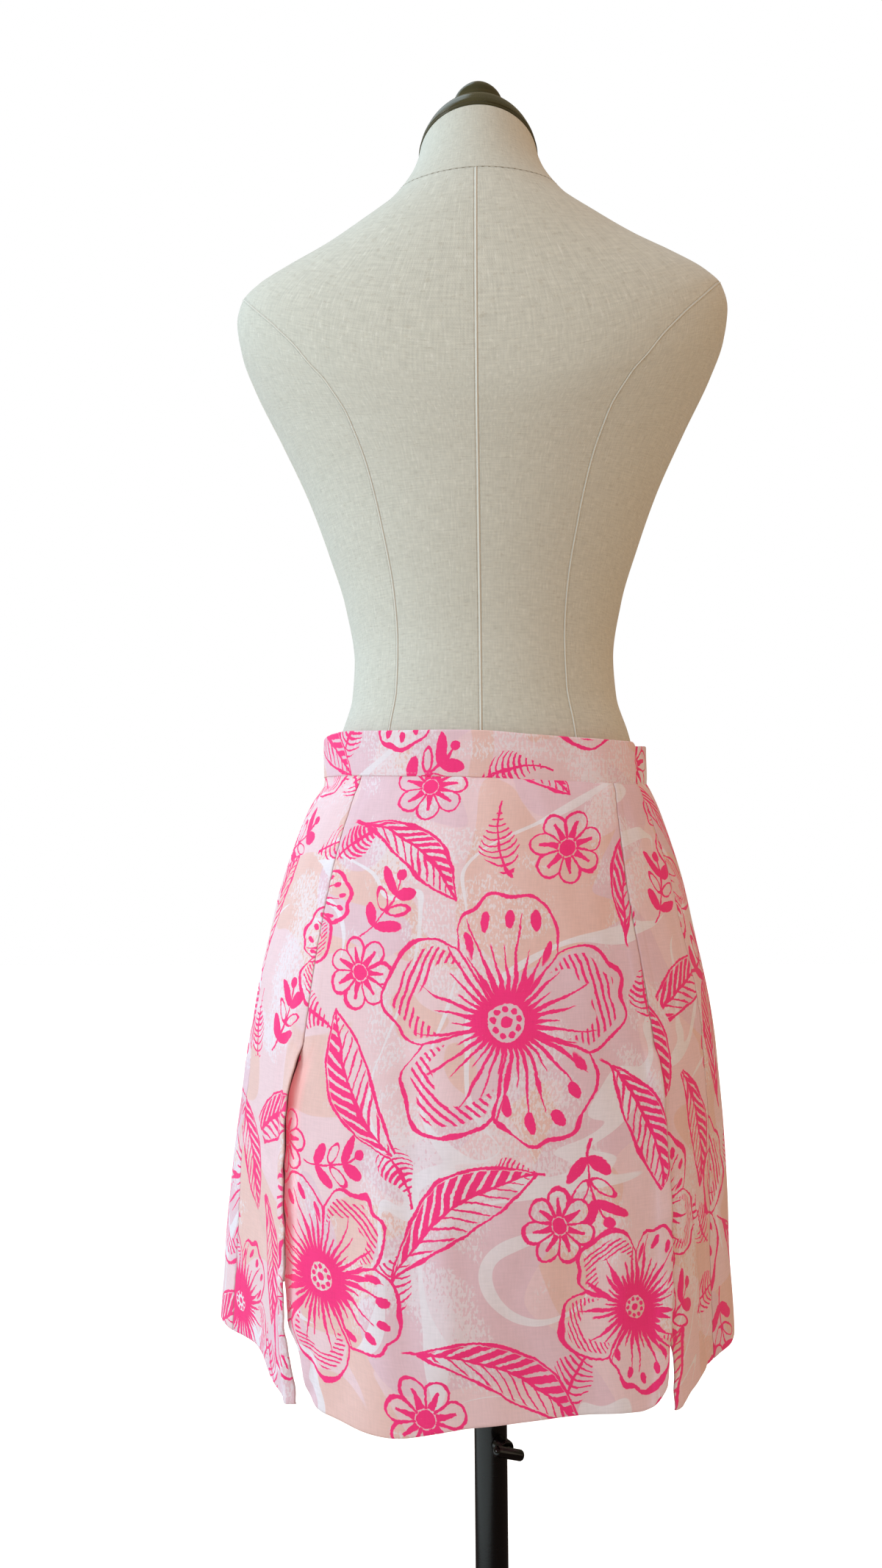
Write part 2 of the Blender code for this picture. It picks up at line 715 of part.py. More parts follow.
def clamp_bar(collection, helpers, parent):
    """The clamp's screw and the bar through its head."""
    place = (
        Matrix.Translation((BAR_REACH, 0.0, 0.0))
        @ Matrix.Rotation(math.radians(-BAR_TILT), 4, "X")
        @ Matrix.Translation((0.0, BAR_SLIDE, 0.0))
        @ Matrix.Rotation(math.radians(90), 4, "X")
    )
    mesh = cylinder_mesh("clamp_bar", BAR_RADIUS, BAR_LENGTH, 16, place)
    obj = add_object("clamp_bar", mesh, "pole_black", collection, parent)
    bevel = obj.modifiers.new("round_ends", "BEVEL")
    bevel.width = BAR_RADIUS * 0.55
    bevel.segments = 2
    bevel.limit_method = "ANGLE"
    screw_start = BOSS_REACH + SEAM_GAP
    screw_mesh = cylinder_mesh(
        "screw_shank", SCREW_RADIUS, BAR_REACH - screw_start, 16, along_clamp((BAR_REACH + screw_start) / 2)
    )
    shank = helper_object("screw_shank", screw_mesh, helpers, parent)
    add_boolean(obj, shank, "UNION")
    return obj


def waist_hook(collection, parent):
    """The flat hook between the band's two layers."""
    ring = SKIRT_SECTIONS[0]
    angle = (BAND_LAP_END + BAND_UNDER_END) / 2
    outward = oval_outward(ring, angle)
    place = oval_point(ring, angle) + outward * (BAND_LIFT / 2 - BAND_INSET)
    place.z = (band_top(angle) + band_bottom(angle)) / 2
    shape = bmesh.new()
    bmesh.ops.create_cube(shape, size=1.0, matrix=Matrix.Diagonal((0.0006, 0.0120, 0.0080, 1.0)))
    mesh = bpy.data.meshes.new("waist_hook")
    shape.to_mesh(mesh)
    shape.free()
    obj = add_object("waist_hook", mesh, "hook_steel", collection, parent)
    obj.location = place
    obj.rotation_euler.z = math.atan2(outward.y, outward.x)
    return obj


def empty(name, collection, location=(0.0, 0.0, 0.0), parent=None):
    obj = bpy.data.objects.new(name, None)
    obj.empty_display_size = 0.05
    obj.location = location
    collection.objects.link(obj)
    obj.parent = parent
    return obj


def clear_scene():
    for obj in list(bpy.data.objects):
        bpy.data.objects.remove(obj, do_unlink=True)


def new_collection(name):
    collection = bpy.data.collections.new(name)
    bpy.context.scene.collection.children.link(collection)
    return collection


def build_stand(collection, helpers, stand):
    turned_object("stand_base", BASE_PROFILE, 56, "pole_black", collection, stand)
    stand_tube(collection, stand)
    clamp_axis = empty("clamp_axis", collection, (0.0, 0.0, CLAMP_HEIGHT), stand)
    clamp_axis.rotation_euler.z = math.radians(CLAMP_ANGLE - 90.0)
    clamp_boss(collection, helpers, clamp_axis)
    clamp_bar(collection, helpers, clamp_axis)


def build_form(collection, form):
    torso(collection, form)
    cap_foot = NECK_TOP + SEAM_GAP
    knob_foot = cap_foot + CAP_SEAT + SEAM_GAP
    cap = turned_object("neck_cap", CAP_PROFILE, 36, "cap_gloss", collection, form, cap_foot)
    cap.scale.y = CAP_STRETCH
    turned_object("neck_knob", KNOB_PROFILE, 28, "cap_gloss", collection, form, knob_foot)


def build_skort(collection, form):
    waistband(collection, form)
    waist_hook(collection, form)
    back_center_panel(collection, form)
    front_panel(collection, form)
    for side in ("left", "right"):
        back_side_panel(side, collection, form)
        shorts_leg(side, collection, form)


def main():
    clear_scene()
    collection = new_collection("skort_on_dress_form")
    helpers = new_collection("cutters")
    stand = empty("stand", collection)
    rod_axis = empty("rod_axis", collection, parent=stand)
    form_axis = empty("form_axis", collection, parent=rod_axis)
    build_stand(collection, helpers, stand)
    form_rod(collection, rod_axis)
    build_form(collection, form_axis)
    build_skort(collection, form_axis)


main()
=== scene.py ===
"""The looks of a printed skort on a linen-covered dress form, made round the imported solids.

Metres, +Z up, in the solids' own frame: the skort's back, with its two slits, faces -Y. An angle round
the body is 0 at the centre back and grows towards +X, the wearer's right. Every cloth piece of the skort
has a UV map in metres, measured along the cloth, so that its weave and print keep their real scale.
"""

import math
from collections import namedtuple
from functools import partial

import bmesh
import bpy
import numpy as np
from mathutils import Matrix, Vector


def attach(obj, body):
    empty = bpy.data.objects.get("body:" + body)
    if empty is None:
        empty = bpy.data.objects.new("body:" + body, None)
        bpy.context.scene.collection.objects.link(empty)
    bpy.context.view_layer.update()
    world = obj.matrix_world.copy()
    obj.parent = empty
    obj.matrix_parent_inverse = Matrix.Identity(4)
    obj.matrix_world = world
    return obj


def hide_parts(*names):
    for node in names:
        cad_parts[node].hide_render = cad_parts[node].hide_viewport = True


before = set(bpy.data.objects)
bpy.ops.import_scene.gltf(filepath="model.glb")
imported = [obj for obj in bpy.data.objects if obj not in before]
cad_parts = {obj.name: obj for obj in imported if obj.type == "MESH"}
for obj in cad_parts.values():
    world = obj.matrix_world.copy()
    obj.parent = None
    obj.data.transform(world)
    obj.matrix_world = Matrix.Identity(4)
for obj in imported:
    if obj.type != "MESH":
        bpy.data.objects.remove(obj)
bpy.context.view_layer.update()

# Sizes of the skort
BAND_TOP = 0.9945
BAND_BOTTOM = 0.9600
HEM_HEIGHT = 0.5250
SLIT_TOP = 0.7680
SHORTS_HEM = 0.6020
CROTCH_HEIGHT = 0.7000
SEAM_GAP = 0.0003

# Waistband, which laps over its own other end. The skirt's cloth follows its lift a little way down
BAND_PRINT_PLACE = 0.34
BAND_WALL = 0.0025
BAND_INSET = 0.00025
BAND_TUCK = 0.0012
BAND_CORNER = 0.0060
BAND_EDGE_ROUND = 0.0011
BAND_LAP_END = 61.5
BAND_UNDER_END = 46.0
BAND_LIFT = 0.0039
BAND_LIFT_RUN = 34.0
BAND_STEP = 0.0040
BAND_STEP_RUN = 50.0
FOLLOW_SHARE = 0.80
FOLLOW_DROP = 0.018
FOLLOW_MIDDLE = 20.0
FOLLOW_END = 16.0
FOLLOW_FADE = 4.0

# Slit edges: the lift of the one on top, and the drop of the one under it
LIP_START = 0.7520
LIP_LIFT = 0.0034
LIP_RUN = 0.0170
UNDER_DROP = 0.0010
LEFT_CORNER = 0.016
RIGHT_CORNER = 0.020

# Left slit: a lip that stands off, a pressed ridge that nears the edge further down, a rolled corner, and the
# reach of a painted glow beside it
LEFT_LIP_LIFT = 0.0030
LEFT_LIP_WIDTH = 0.0260
OPEN_TOP = 0.7750
OPEN_TOP_RUN = 0.0400
OPEN_LOW = 0.5500
OPEN_LOW_RUN = 0.0600
RIDGE_RISE = 0.0026
RIDGE_RUN = 0.0130
RIDGE_ROUND = 0.0008
RIDGE_INSET = 0.0060
RIDGE_INSET_GAIN = 0.0100
RIDGE_LOW = 0.5800
RIDGE_SPAN = 0.1900
RIDGE_TOP = 0.8300
RIDGE_FADE = 0.0700
LEFT_ROLL = 0.0045
LEFT_ROLL_START = 0.5740
LEFT_ROLL_RUN = 0.0450
LEFT_ROLL_WIDTH = 0.0090
GLOW_WIDTH = 0.0190
GLOW_FADE = 0.0090

# Shorts
SHORTS_WALL = 0.0011
CROTCH_SHIFT = 0.024
CROTCH_PUSH_TOP = 0.7920
LEG_CLOSE_TOP = 0.7720
LEG_CLOSED_ANGLE = 0.35
LEG_PARTING = 0.0040
LEFT_LEG_DEPTH = 0.93

# Dress form
FORM_BOTTOM = 0.7750
NECK_TOP = 1.5000
CAP_STRETCH = 1.19
CAP_SEAT = 0.0440
CAP_LEAN = 11.0
NECK_BACK = -0.0595
LEAN_START = 1.4450
BUST_HEIGHT = 1.2330
BUST_ANGLE = 34.0
BUST_PUSH = 0.0250
BUST_RISE = 0.0620
BUST_SPREAD = 25.0
NECK_SEAM_HEIGHT = 1.4393
NECK_SEAM_RISE = 0.0120
PRINCESS_TOP = 1.3695
FORM_ROWS = 210
FORM_COLUMNS = 180

# Stand
BASE_RADIUS = 0.1700
BASE_COLLAR_TOP = 0.0180
TUBE_TOP = 0.4850
TUBE_RADIUS = 0.0130
TUBE_BORE = 0.0106
ROD_RADIUS = 0.0103
ROD_BOTTOM = 0.1600
FLANGE_RADIUS = 0.0480
FLANGE_THICKNESS = 0.0060
CLAMP_HEIGHT = 0.4420
CLAMP_ANGLE = 33.0
BOSS_RADIUS = 0.0068
BOSS_REACH = 0.0240
SCREW_RADIUS = 0.0032
BAR_RADIUS = 0.0041
BAR_LENGTH = 0.0280
BAR_REACH = 0.0305
BAR_SLIDE = -0.0030
BAR_TILT = 21.0

# Real cloth is thinner than its solids, and double along its turned edges
CLOTH_THICKNESS = 0.0006
SHORTS_THICKNESS = 0.0005
BAND_STITCH_RISE = 0.0024
FACING_WIDTH = 0.0115
CLOTH_WAVE = 0.00040
CREASE_STRENGTH = 1.5
HEM_TURN = 0.0180
SEAM_GROOVE = 0.0006
SEAM_GROOVE_WIDTH = 0.0009
ALLOWANCE_RISE = 0.00022
ALLOWANCE_FADE = 0.0015
FACING_RISE = 0.00045
FACING_FADE = 0.0016
SLIT_EDGE_ROLL = 0.0007
SLIT_EDGE_RUN = 0.0010
HEM_ROLL = 0.0005
HEM_ROLL_RUN = 0.0012
TOP_DIP = 0.0006
TOP_DIP_RUN = 0.0022

# Distances of the cloth's rows and columns from its edges, and their even spacing between
EDGE_STEPS = (
    0.0, 0.0003, 0.0008, 0.0014, 0.0022, 0.0035, 0.0055,
    0.0080, 0.0100, 0.0110, 0.0120, 0.0135, 0.0160, 0.0190,
)
HEM_STEPS = (0.0, 0.0003, 0.0008, 0.0016, 0.0030, 0.0055, 0.0090, 0.0125)
TOP_STEPS = (0.0, 0.0006, 0.0014)
CLOTH_SPACING = 0.0040

# The photo's view
VIEW_PLACE = Vector((0.0217, -0.9644, 0.9000))
VIEW_YAW = 3.4
VIEW_PITCH = 3.6
VIEW_ROLL = 0.43
PHOTO_HEIGHT = 2133
FOCAL_PIXELS = 1603.0
SENSOR_HEIGHT = 36.0

Section = namedtuple("Section", "height half_width back_depth front_depth middle dip", defaults=(0.0, 0.0))
Seams = namedtuple("Seams", "height left_slit right_slit left_side right_side")
Laps = namedtuple("Laps", "height left right")
Fold = namedtuple("Fold", "angle spread push start")
BandDrop = namedtuple("BandDrop", "angle top bottom")
HemLevel = namedtuple("HemLevel", "angle rise")
Princess = namedtuple("Princess", "height angle")
Crease = namedtuple("Crease", "angle height end_angle end_height width depth")
Turned = namedtuple("Turned", "radius height")
SkirtPanel = namedtuple(
    "SkirtPanel", "name left_edge right_edge left_kind right_kind corners print_place cut cut_area"
)

SKIRT_SECTIONS = (
    Section(0.9600, 0.1305, 0.0965, 0.0935, 0.0000),
    Section(0.9400, 0.1415, 0.1060, 0.1010, -0.0020),
    Section(0.9100, 0.1526, 0.1165, 0.1100, -0.0030),
    Section(0.8800, 0.1616, 0.1250, 0.1180, -0.0035),
    Section(0.8500, 0.1686, 0.1325, 0.1245, -0.0040),
    Section(0.8000, 0.1790, 0.1425, 0.1330, -0.0042),
    Section(0.7500, 0.1864, 0.1500, 0.1390, -0.0045),
    Section(0.7000, 0.1910, 0.1560, 0.1440, -0.0050),
    Section(0.6400, 0.1948, 0.1615, 0.1490, -0.0055),
    Section(0.5800, 0.1972, 0.1655, 0.1530, -0.0060),
    Section(0.5200, 0.1998, 0.1690, 0.1565, -0.0060),
)

SHORTS_SECTIONS = (
    Section(0.9600, 0.1290, 0.0950, 0.0920),
    Section(0.9300, 0.1395, 0.1045, 0.0995),
    Section(0.8800, 0.1550, 0.1185, 0.1120),
    Section(0.8200, 0.1670, 0.1270, 0.1200),
    Section(0.7700, 0.1690, 0.1260, 0.1180),
    Section(0.7000, 0.1690, 0.1120, 0.1060),
    Section(0.6000, 0.1720, 0.1120, 0.1060),
)

FORM_SECTIONS = (
    Section(1.5000, 0.0498, 0.0595, 0.0585),
    Section(1.4860, 0.0529, 0.0625, 0.0600, 0.0, 0.000),
    Section(1.4650, 0.0604, 0.0680, 0.0630, 0.0, 0.000),
    Section(1.4370, 0.0817, 0.0790, 0.0700, 0.0, 0.002),
    Section(1.4210, 0.1080, 0.0900, 0.0780, 0.0, 0.014),
    Section(1.4055, 0.1362, 0.0990, 0.0870, 0.0, 0.031),
    Section(1.3925, 0.1645, 0.1055, 0.0960, 0.0, 0.050),
    Section(1.3790, 0.1883, 0.1100, 0.1040, 0.0, 0.065),
    Section(1.3670, 0.2005, 0.1125, 0.1100, 0.0, 0.077),
    Section(1.3500, 0.2046, 0.1138, 0.1150, 0.0, 0.079),
    Section(1.3260, 0.2010, 0.1145, 0.1195, 0.0, 0.072),
    Section(1.2950, 0.1895, 0.1145, 0.1215, 0.0, 0.052),
    Section(1.2480, 0.1664, 0.1125, 0.1225, 0.0, 0.024),
    Section(1.2000, 0.1442, 0.1070, 0.1200, 0.0, 0.006),
    Section(1.1540, 0.1274, 0.1000, 0.1110),
    Section(1.1080, 0.1132, 0.0920, 0.0980),
    Section(1.0620, 0.1060, 0.0870, 0.0890),
    Section(1.0310, 0.1080, 0.0870, 0.0870),
    Section(1.0010, 0.1170, 0.0885, 0.0875),
    Section(0.9540, 0.1286, 0.0946, 0.0916),
    Section(0.9200, 0.1370, 0.1000, 0.0965),
    Section(0.8800, 0.1475, 0.1080, 0.1030),
    Section(0.8400, 0.1545, 0.1145, 0.1085),
    Section(0.8000, 0.1570, 0.1165, 0.1100),
    Section(0.7820, 0.1530, 0.1130, 0.1065),
    Section(0.7750, 0.1440, 0.1050, 0.0990),
)

SEAM_ANGLES = (
    Seams(0.9600, -45.5, 47.6, -76.0, 65.0),
    Seams(0.9300, -43.4, 45.2, -76.0, 65.0),
    Seams(0.8700, -43.1, 42.4, -75.0, 65.0),
    Seams(0.7680, -43.2, 43.1, -75.0, 66.0),
    Seams(0.7500, -43.6, 43.7, -75.0, 66.0),
    Seams(0.7160, -45.0, 44.0, -76.0, 66.5),
    Seams(0.6780, -44.4, 44.1, -77.0, 67.0),
    Seams(0.6250, -42.6, 43.8, -77.5, 67.0),
    Seams(0.5700, -42.2, 42.1, -78.0, 67.0),
    Seams(0.5200, -39.0, 39.2, -78.0, 67.0),
)

SLIT_LAPS = (
    Laps(0.9600, -0.00015, -0.00015),
    Laps(0.7690, -0.00015, -0.00015),
    Laps(0.7560, 0.0036, 0.0016),
    Laps(0.7200, 0.0088, 0.0034),
    Laps(0.6100, 0.0088, 0.0040),
    Laps(0.5780, 0.0040, 0.0010),
    Laps(0.5540, -0.0090, -0.0085),
    Laps(0.5200, -0.0130, -0.0130),
)

SKIRT_FOLDS = (
    Fold(-94.0, 15.0, 0.013, 0.86),
    Fold(-64.0, 15.0, -0.015, 0.84),
    Fold(-16.0, 12.0, 0.011, 0.80),
    Fold(20.0, 13.0, -0.007, 0.80),
    Fold(64.0, 14.0, -0.013, 0.84),
    Fold(98.0, 14.0, -0.003, 0.86),
    Fold(128.0, 13.0, 0.009, 0.84),
    Fold(156.0, 12.0, -0.006, 0.80),
    Fold(-176.0, 14.0, 0.008, 0.80),
    Fold(-147.0, 12.0, -0.006, 0.82),
    Fold(-122.0, 11.0, 0.005, 0.84),
)

BAND_DROPS = (
    BandDrop(-180.0, 0.0000, 0.0000),
    BandDrop(-130.0, -0.0020, -0.0030),
    BandDrop(-84.0, -0.0030, -0.0058),
    BandDrop(-60.0, -0.0050, -0.0048),
    BandDrop(-30.0, -0.0020, -0.0018),
    BandDrop(0.0, 0.0000, 0.0008),
    BandDrop(18.0, 0.0033, 0.0037),
    BandDrop(50.0, 0.0059, 0.0057),
    BandDrop(66.0, 0.0057, 0.0048),
    BandDrop(84.0, 0.0052, 0.0030),
    BandDrop(130.0, 0.0020, 0.0012),
    BandDrop(180.0, 0.0000, 0.0000),
)

HEM_LEVELS = (
    HemLevel(-180.0, 0.003),
    HemLevel(-94.0, 0.008),
    HemLevel(-64.0, 0.011),
    HemLevel(-48.0, 0.002),
    HemLevel(-41.0, -0.002),
    HemLevel(-34.0, 0.000),
    HemLevel(-16.0, -0.003),
    HemLevel(0.0, 0.003),
    HemLevel(16.0, 0.004),
    HemLevel(38.0, 0.000),
    HemLevel(44.5, -0.005),
    HemLevel(51.0, 0.001),
    HemLevel(66.0, 0.005),
    HemLevel(98.0, 0.008),
    HemLevel(180.0, 0.003),
)

# Where the form's princess seams run. Above the shoulder blades they curve out to the armholes
PRINCESS_SEAM = (
    Princess(0.7750, 33.0),
    Princess(1.0010, 36.9),
    Princess(1.0580, 37.3),
    Princess(1.1070, 36.2),
    Princess(1.1660, 35.9),
    Princess(1.2550, 35.8),
    Princess(1.3000, 37.5),
    Princess(1.3340, 43.5),
    Princess(1.3490, 51.0),
    Princess(1.3580, 61.0),
    Princess(1.3660, 74.0),
    Princess(1.3720, 92.0),
    Princess(1.3800, 140.0),
    Princess(1.5000, 200.0),
)

# Soft creases in the skirt's cloth: from one point to another, with a width and a depth outwards
SKIRT_CREASES = (
    Crease(-14.8, 0.812, -11.6, 0.525, 0.0120, -0.0022),
    Crease(-5.2, 0.690, -5.0, 0.560, 0.0090, 0.0014),
    Crease(-24.0, 0.720, -27.0, 0.525, 0.0140, -0.0012),
    Crease(8.0, 0.640, 11.0, 0.524, 0.0130, -0.0014),
    Crease(29.0, 0.700, 30.0, 0.530, 0.0120, 0.0012),
    Crease(-35.1, 0.575, -34.6, 0.528, 0.0045, -0.0012),
    Crease(-63.5, 0.690, -54.5, 0.673, 0.0050, -0.0011),
    Crease(-69.0, 0.640, -58.0, 0.612, 0.0060, -0.0009),
    Crease(53.5, 0.675, 63.0, 0.528, 0.0032, -0.0013),
    Crease(49.0, 0.700, 47.5, 0.560, 0.0070, 0.0010),
    Crease(-22.0, 0.930, -8.0, 0.902, 0.0080, -0.0006),
    Crease(14.0, 0.925, 30.0, 0.900, 0.0090, -0.0007),
    Crease(-55.0, 0.900, -46.0, 0.870, 0.0070, -0.0007),
    Crease(96.0, 0.840, 92.0, 0.560, 0.0120, -0.0016),
    Crease(118.0, 0.760, 114.0, 0.530, 0.0120, -0.0020),
    Crease(142.0, 0.800, 145.0, 0.528, 0.0130, -0.0022),
    Crease(168.0, 0.740, 166.0, 0.530, 0.0110, 0.0016),
    Crease(-162.0, 0.770, -160.0, 0.528, 0.0130, -0.0020),
    Crease(-134.0, 0.800, -137.0, 0.530, 0.0120, -0.0018),
    Crease(-104.0, 0.720, -108.0, 0.560, 0.0090, 0.0014),
    Crease(150.0, 0.930, 172.0, 0.905, 0.0090, -0.0007),
    Crease(-150.0, 0.915, -128.0, 0.900, 0.0080, -0.0006),
)


def smooth_step(value):
    """0 below 0 and 1 above 1, with a soft start and end between."""
    value = np.clip(value, 0.0, 1.0)
    return value * value * (3.0 - 2.0 * value)


def smooth_curve(keys, values, key):
    """Values at the keys of a smooth curve through the points, with no overshoot. The points' keys rise."""
    steps = np.diff(values) / np.diff(keys)
    same_way = steps[:-1] * steps[1:] > 0
    sums = np.where(same_way, steps[:-1] + steps[1:], 1.0)
    inner = np.where(same_way, 2 * steps[:-1] * steps[1:] / sums, 0.0)
    slopes = np.concatenate([steps[:1], inner, steps[-1:]])
    i = np.clip(np.searchsorted(keys, key) - 1, 0, len(keys) - 2)
    width = keys[i + 1] - keys[i]
    t = np.clip((key - keys[i]) / width, 0.0, 1.0)
    start = values[i] + width * slopes[i] * t * (1 - t) ** 2
    return start + (values[i + 1] - values[i]) * smooth_step(t) - width * slopes[i + 1] * t * t * (1 - t)


class SmoothTable:
    """Rows of named columns, read at any values of the first column by smooth curves."""

    def __init__(self, rows):
        self.kind = type(rows[0])
        numbers = np.array(sorted(rows))
        self.keys = numbers[:, 0]
        self.columns = numbers[:, 1:].T

    def at(self, key):
        return self.kind(key, *(smooth_curve(self.keys, column, key) for column in self.columns))


SKIRT = SmoothTable(SKIRT_SECTIONS)
SHORTS = SmoothTable(SHORTS_SECTIONS)
FORM = SmoothTable(FORM_SECTIONS)
SEAM_LINES = SmoothTable(SEAM_ANGLES)
LAP_LINES = SmoothTable(SLIT_LAPS)
BAND_LINE = SmoothTable(BAND_DROPS)
HEM_LINE = SmoothTable(HEM_LEVELS)
PRINCESS_LINE = SmoothTable(PRINCESS_SEAM)


def ring_depth(section, turn):
    return np.where(np.cos(turn) > 0, section.back_depth, section.front_depth)


def oval_point(section, angle):
    """Points of an oval ring at angles in degrees."""
    turn = np.radians(angle)
    height = section.height - section.dip * np.cos(turn) ** 2
    across = section.middle + section.half_width * np.sin(turn)
    return np.stack(np.broadcast_arrays(across, -ring_depth(section, turn) * np.cos(turn), height), axis=-1)


def oval_outward(section, angle):
    """Unit vectors in plan that point straight out of an oval ring."""
    turn = np.radians(angle)
    across = np.sin(turn) / section.half_width
    along = -np.cos(turn) / ring_depth(section, turn)
    length = np.hypot(across, along)
    return np.stack(np.broadcast_arrays(across / length, along / length, 0.0 * length), axis=-1)


def turn_by(section, angle, distance):
    """The angle reached by going a distance along an oval ring."""
    turn = np.radians(angle)
    run = np.hypot(section.half_width * np.cos(turn), ring_depth(section, turn) * np.sin(turn))
    return angle + np.degrees(distance / run)


def wrapped(angle):
    """The same angle between -180 and 180 degrees."""
    return (angle + 180.0) % 360.0 - 180.0


def fold_push(angle, height):
    """How far the skirt's folds push it outwards."""
    push = 0.0
    for fold in SKIRT_FOLDS:
        away = wrapped(angle - fold.angle) / fold.spread
        fall = smooth_step((fold.start - height) / (fold.start - HEM_HEIGHT))
        push = push + fold.push * fall * np.exp(-away * away)
    return push


def crease_push(angle, height):
    """How far the small creases push the skirt's cloth, each a soft line between its two ends."""
    push = 0.0
    reach = SKIRT.at(0.70).half_width * math.pi / 180.0
    for crease in SKIRT_CREASES:
        x = wrapped(angle - crease.angle) * reach
        z = height - crease.height
        run_x = (crease.end_angle - crease.angle) * reach
        run_z = crease.end_height - crease.height
        length = math.hypot(run_x, run_z)
        along = (x * run_x + z * run_z) / length / length
        bow = 0.25 * crease.width * np.sin(9.0 * along + crease.angle)
        across = (x * run_z - z * run_x) / length + bow
        ends = smooth_step((along + 0.15) / 0.45) * smooth_step((1.12 - along) / 0.35)
        push = push + CREASE_STRENGTH * crease.depth * ends * np.exp(-((across / crease.width) ** 2))
    return push


def pucker(distance, height, pitch, depth, reach):
    """Small uneven waves along a sewn line, which fade away from it."""
    turns = 2.0 * math.pi * height / pitch
    waves = np.sin(turns) + 0.6 * np.sin(turns * 0.37 + 1.3) + 0.5 * np.sin(turns * 1.71 + 0.4)
    return depth * waves * np.exp(-((distance / reach) ** 2))


def seam_dip(distance):
    """The groove of a pressed seam, and the slight step where its allowance ends under the cloth."""
    groove = -SEAM_GROOVE * np.exp(-((distance / SEAM_GROOVE_WIDTH) ** 2))
    allowance = ALLOWANCE_RISE * smooth_step((FACING_WIDTH - distance) / ALLOWANCE_FADE)
    return groove + allowance


def band_bottom(angle):
    """Height of the band's lower edge, where the skirt's and the shorts' cloth meet it."""
    return BAND_BOTTOM - BAND_LINE.at(wrapped(angle)).bottom


def hem_height(angle):
    """Height of the skirt's hem, away from its corners."""
    return HEM_HEIGHT + HEM_LINE.at(wrapped(angle)).rise


def slit_edge(height, side, on_top):
    """Angle of a slit's edge. The side panel lies on top at the left, the centre one at the right."""
    seams, laps, ring = SEAM_LINES.at(height), LAP_LINES.at(height), SKIRT.at(height)
    angle = seams.left_slit if side == "left" else seams.right_slit
    if on_top:
        return turn_by(ring, angle, -SEAM_GAP / 2)
    return turn_by(ring, angle, -(laps.left if side == "left" else laps.right))


def side_edge(height, side, step, whole_turns=0):
    """Angle of a panel's edge along a side seam, half a seam gap before it, or after it where step is 1."""
    seams = SEAM_LINES.at(height)
    angle = seams.left_side if side == "left" else seams.right_side
    return turn_by(SKIRT.at(height), angle, step * SEAM_GAP / 2) + 360.0 * whole_turns


def below_slit_top(height):
    """0 above the slits, and 1 a little below their top."""
    return smooth_step((SLIT_TOP - height) / (SLIT_TOP - LIP_START))


def lip_lift(height, distance):
    """Lift of the panel that lies on top, at a distance from its slit edge."""
    return LIP_LIFT * smooth_step(1.0 - distance / LIP_RUN) * below_slit_top(height)


def corner_rise(distance, radius):
    """Rise of a hem near a rounded corner of this radius, at a distance from the panel's edge."""
    inside = np.clip(radius - distance, 0.0, radius)
    return np.where(radius > 0.0, radius - np.sqrt(np.maximum(radius**2 - inside**2, 0.0)), 0.0)


def columns_between(width, edge_steps, spacing):
    """Places from 0 to 1 across a panel: at the given distances from both edges, and evenly between."""
    near = np.array(edge_steps) / width
    count = max(2, round((1.0 - 2.0 * near[-1]) * width / spacing))
    middle = np.linspace(near[-1], 1.0 - near[-1], count + 1)
    return np.concatenate([near[:-1], middle, (1.0 - near[:-1])[::-1]])


def rows_between(length, spacing, fine_end):
    """Places from 0 to 1 down a panel, finer over the last stretch to its hem."""
    count = round((length - fine_end[-1]) / spacing)
    upper = np.linspace(0.0, 1.0 - fine_end[-1] / length, count + 1)
    lower = 1.0 - np.array(fine_end[:-1])[::-1] / length
    return np.concatenate([np.array(TOP_STEPS) / length, upper[1:], lower])


def edge_relief(kind, distance, height):
    """Relief of the cloth beside an edge: a sewn seam, or a slit's turned edge on top or underneath."""
    sewn = seam_dip(distance) + pucker(distance, height, 0.011, 0.00016, 0.006)
    if kind == "seam":
        return sewn
    slit = below_slit_top(height)
    facing = FACING_RISE * smooth_step((FACING_WIDTH - distance) / FACING_FADE)
    roll = -SLIT_EDGE_ROLL * smooth_step(1.0 - distance / SLIT_EDGE_RUN)
    open_edge = facing + roll + pucker(distance, height, 0.027, 0.00045, 0.012)
    if kind == "slit under":
        open_edge = open_edge - UNDER_DROP * smooth_step(1.0 - distance / LIP_RUN)
    return sewn * (1.0 - slit) + open_edge * slit


def left_slit_open(height):
    """How far the left slit's lip stands off at a height, from 0 to 1."""
    return smooth_step((OPEN_TOP - height) / OPEN_TOP_RUN) * smooth_step((height - OPEN_LOW) / OPEN_LOW_RUN)


def left_lip_fold(distance, height):
    """The left slit's edge strip: a pressed ridge, which nears the edge further down, and the lifted lip."""
    width = RIDGE_INSET + RIDGE_INSET_GAIN * smooth_step((height - RIDGE_LOW) / RIDGE_SPAN)
    before = np.sqrt((distance - width) ** 2 + RIDGE_ROUND**2)
    run = np.where(distance < width, width, RIDGE_RUN)
    ridge = RIDGE_RISE * np.clip(1.0 - (before - RIDGE_ROUND) / run, 0.0, 1.0)
    lip = LEFT_LIP_LIFT * left_slit_open(height) * smooth_step(1.0 - distance / LEFT_LIP_WIDTH)
    return ridge * smooth_step((RIDGE_TOP - height) / RIDGE_FADE) + lip


def band_follow(angle, below_top):
    """How the skirt's cloth stands out with the band near its lapping end."""
    ending = smooth_step((BAND_LAP_END - np.abs(wrapped(angle - FOLLOW_MIDDLE)) - FOLLOW_END) / FOLLOW_FADE)
    return FOLLOW_SHARE * band_lift(angle) * ending * np.exp(-((below_top / FOLLOW_DROP) ** 2))


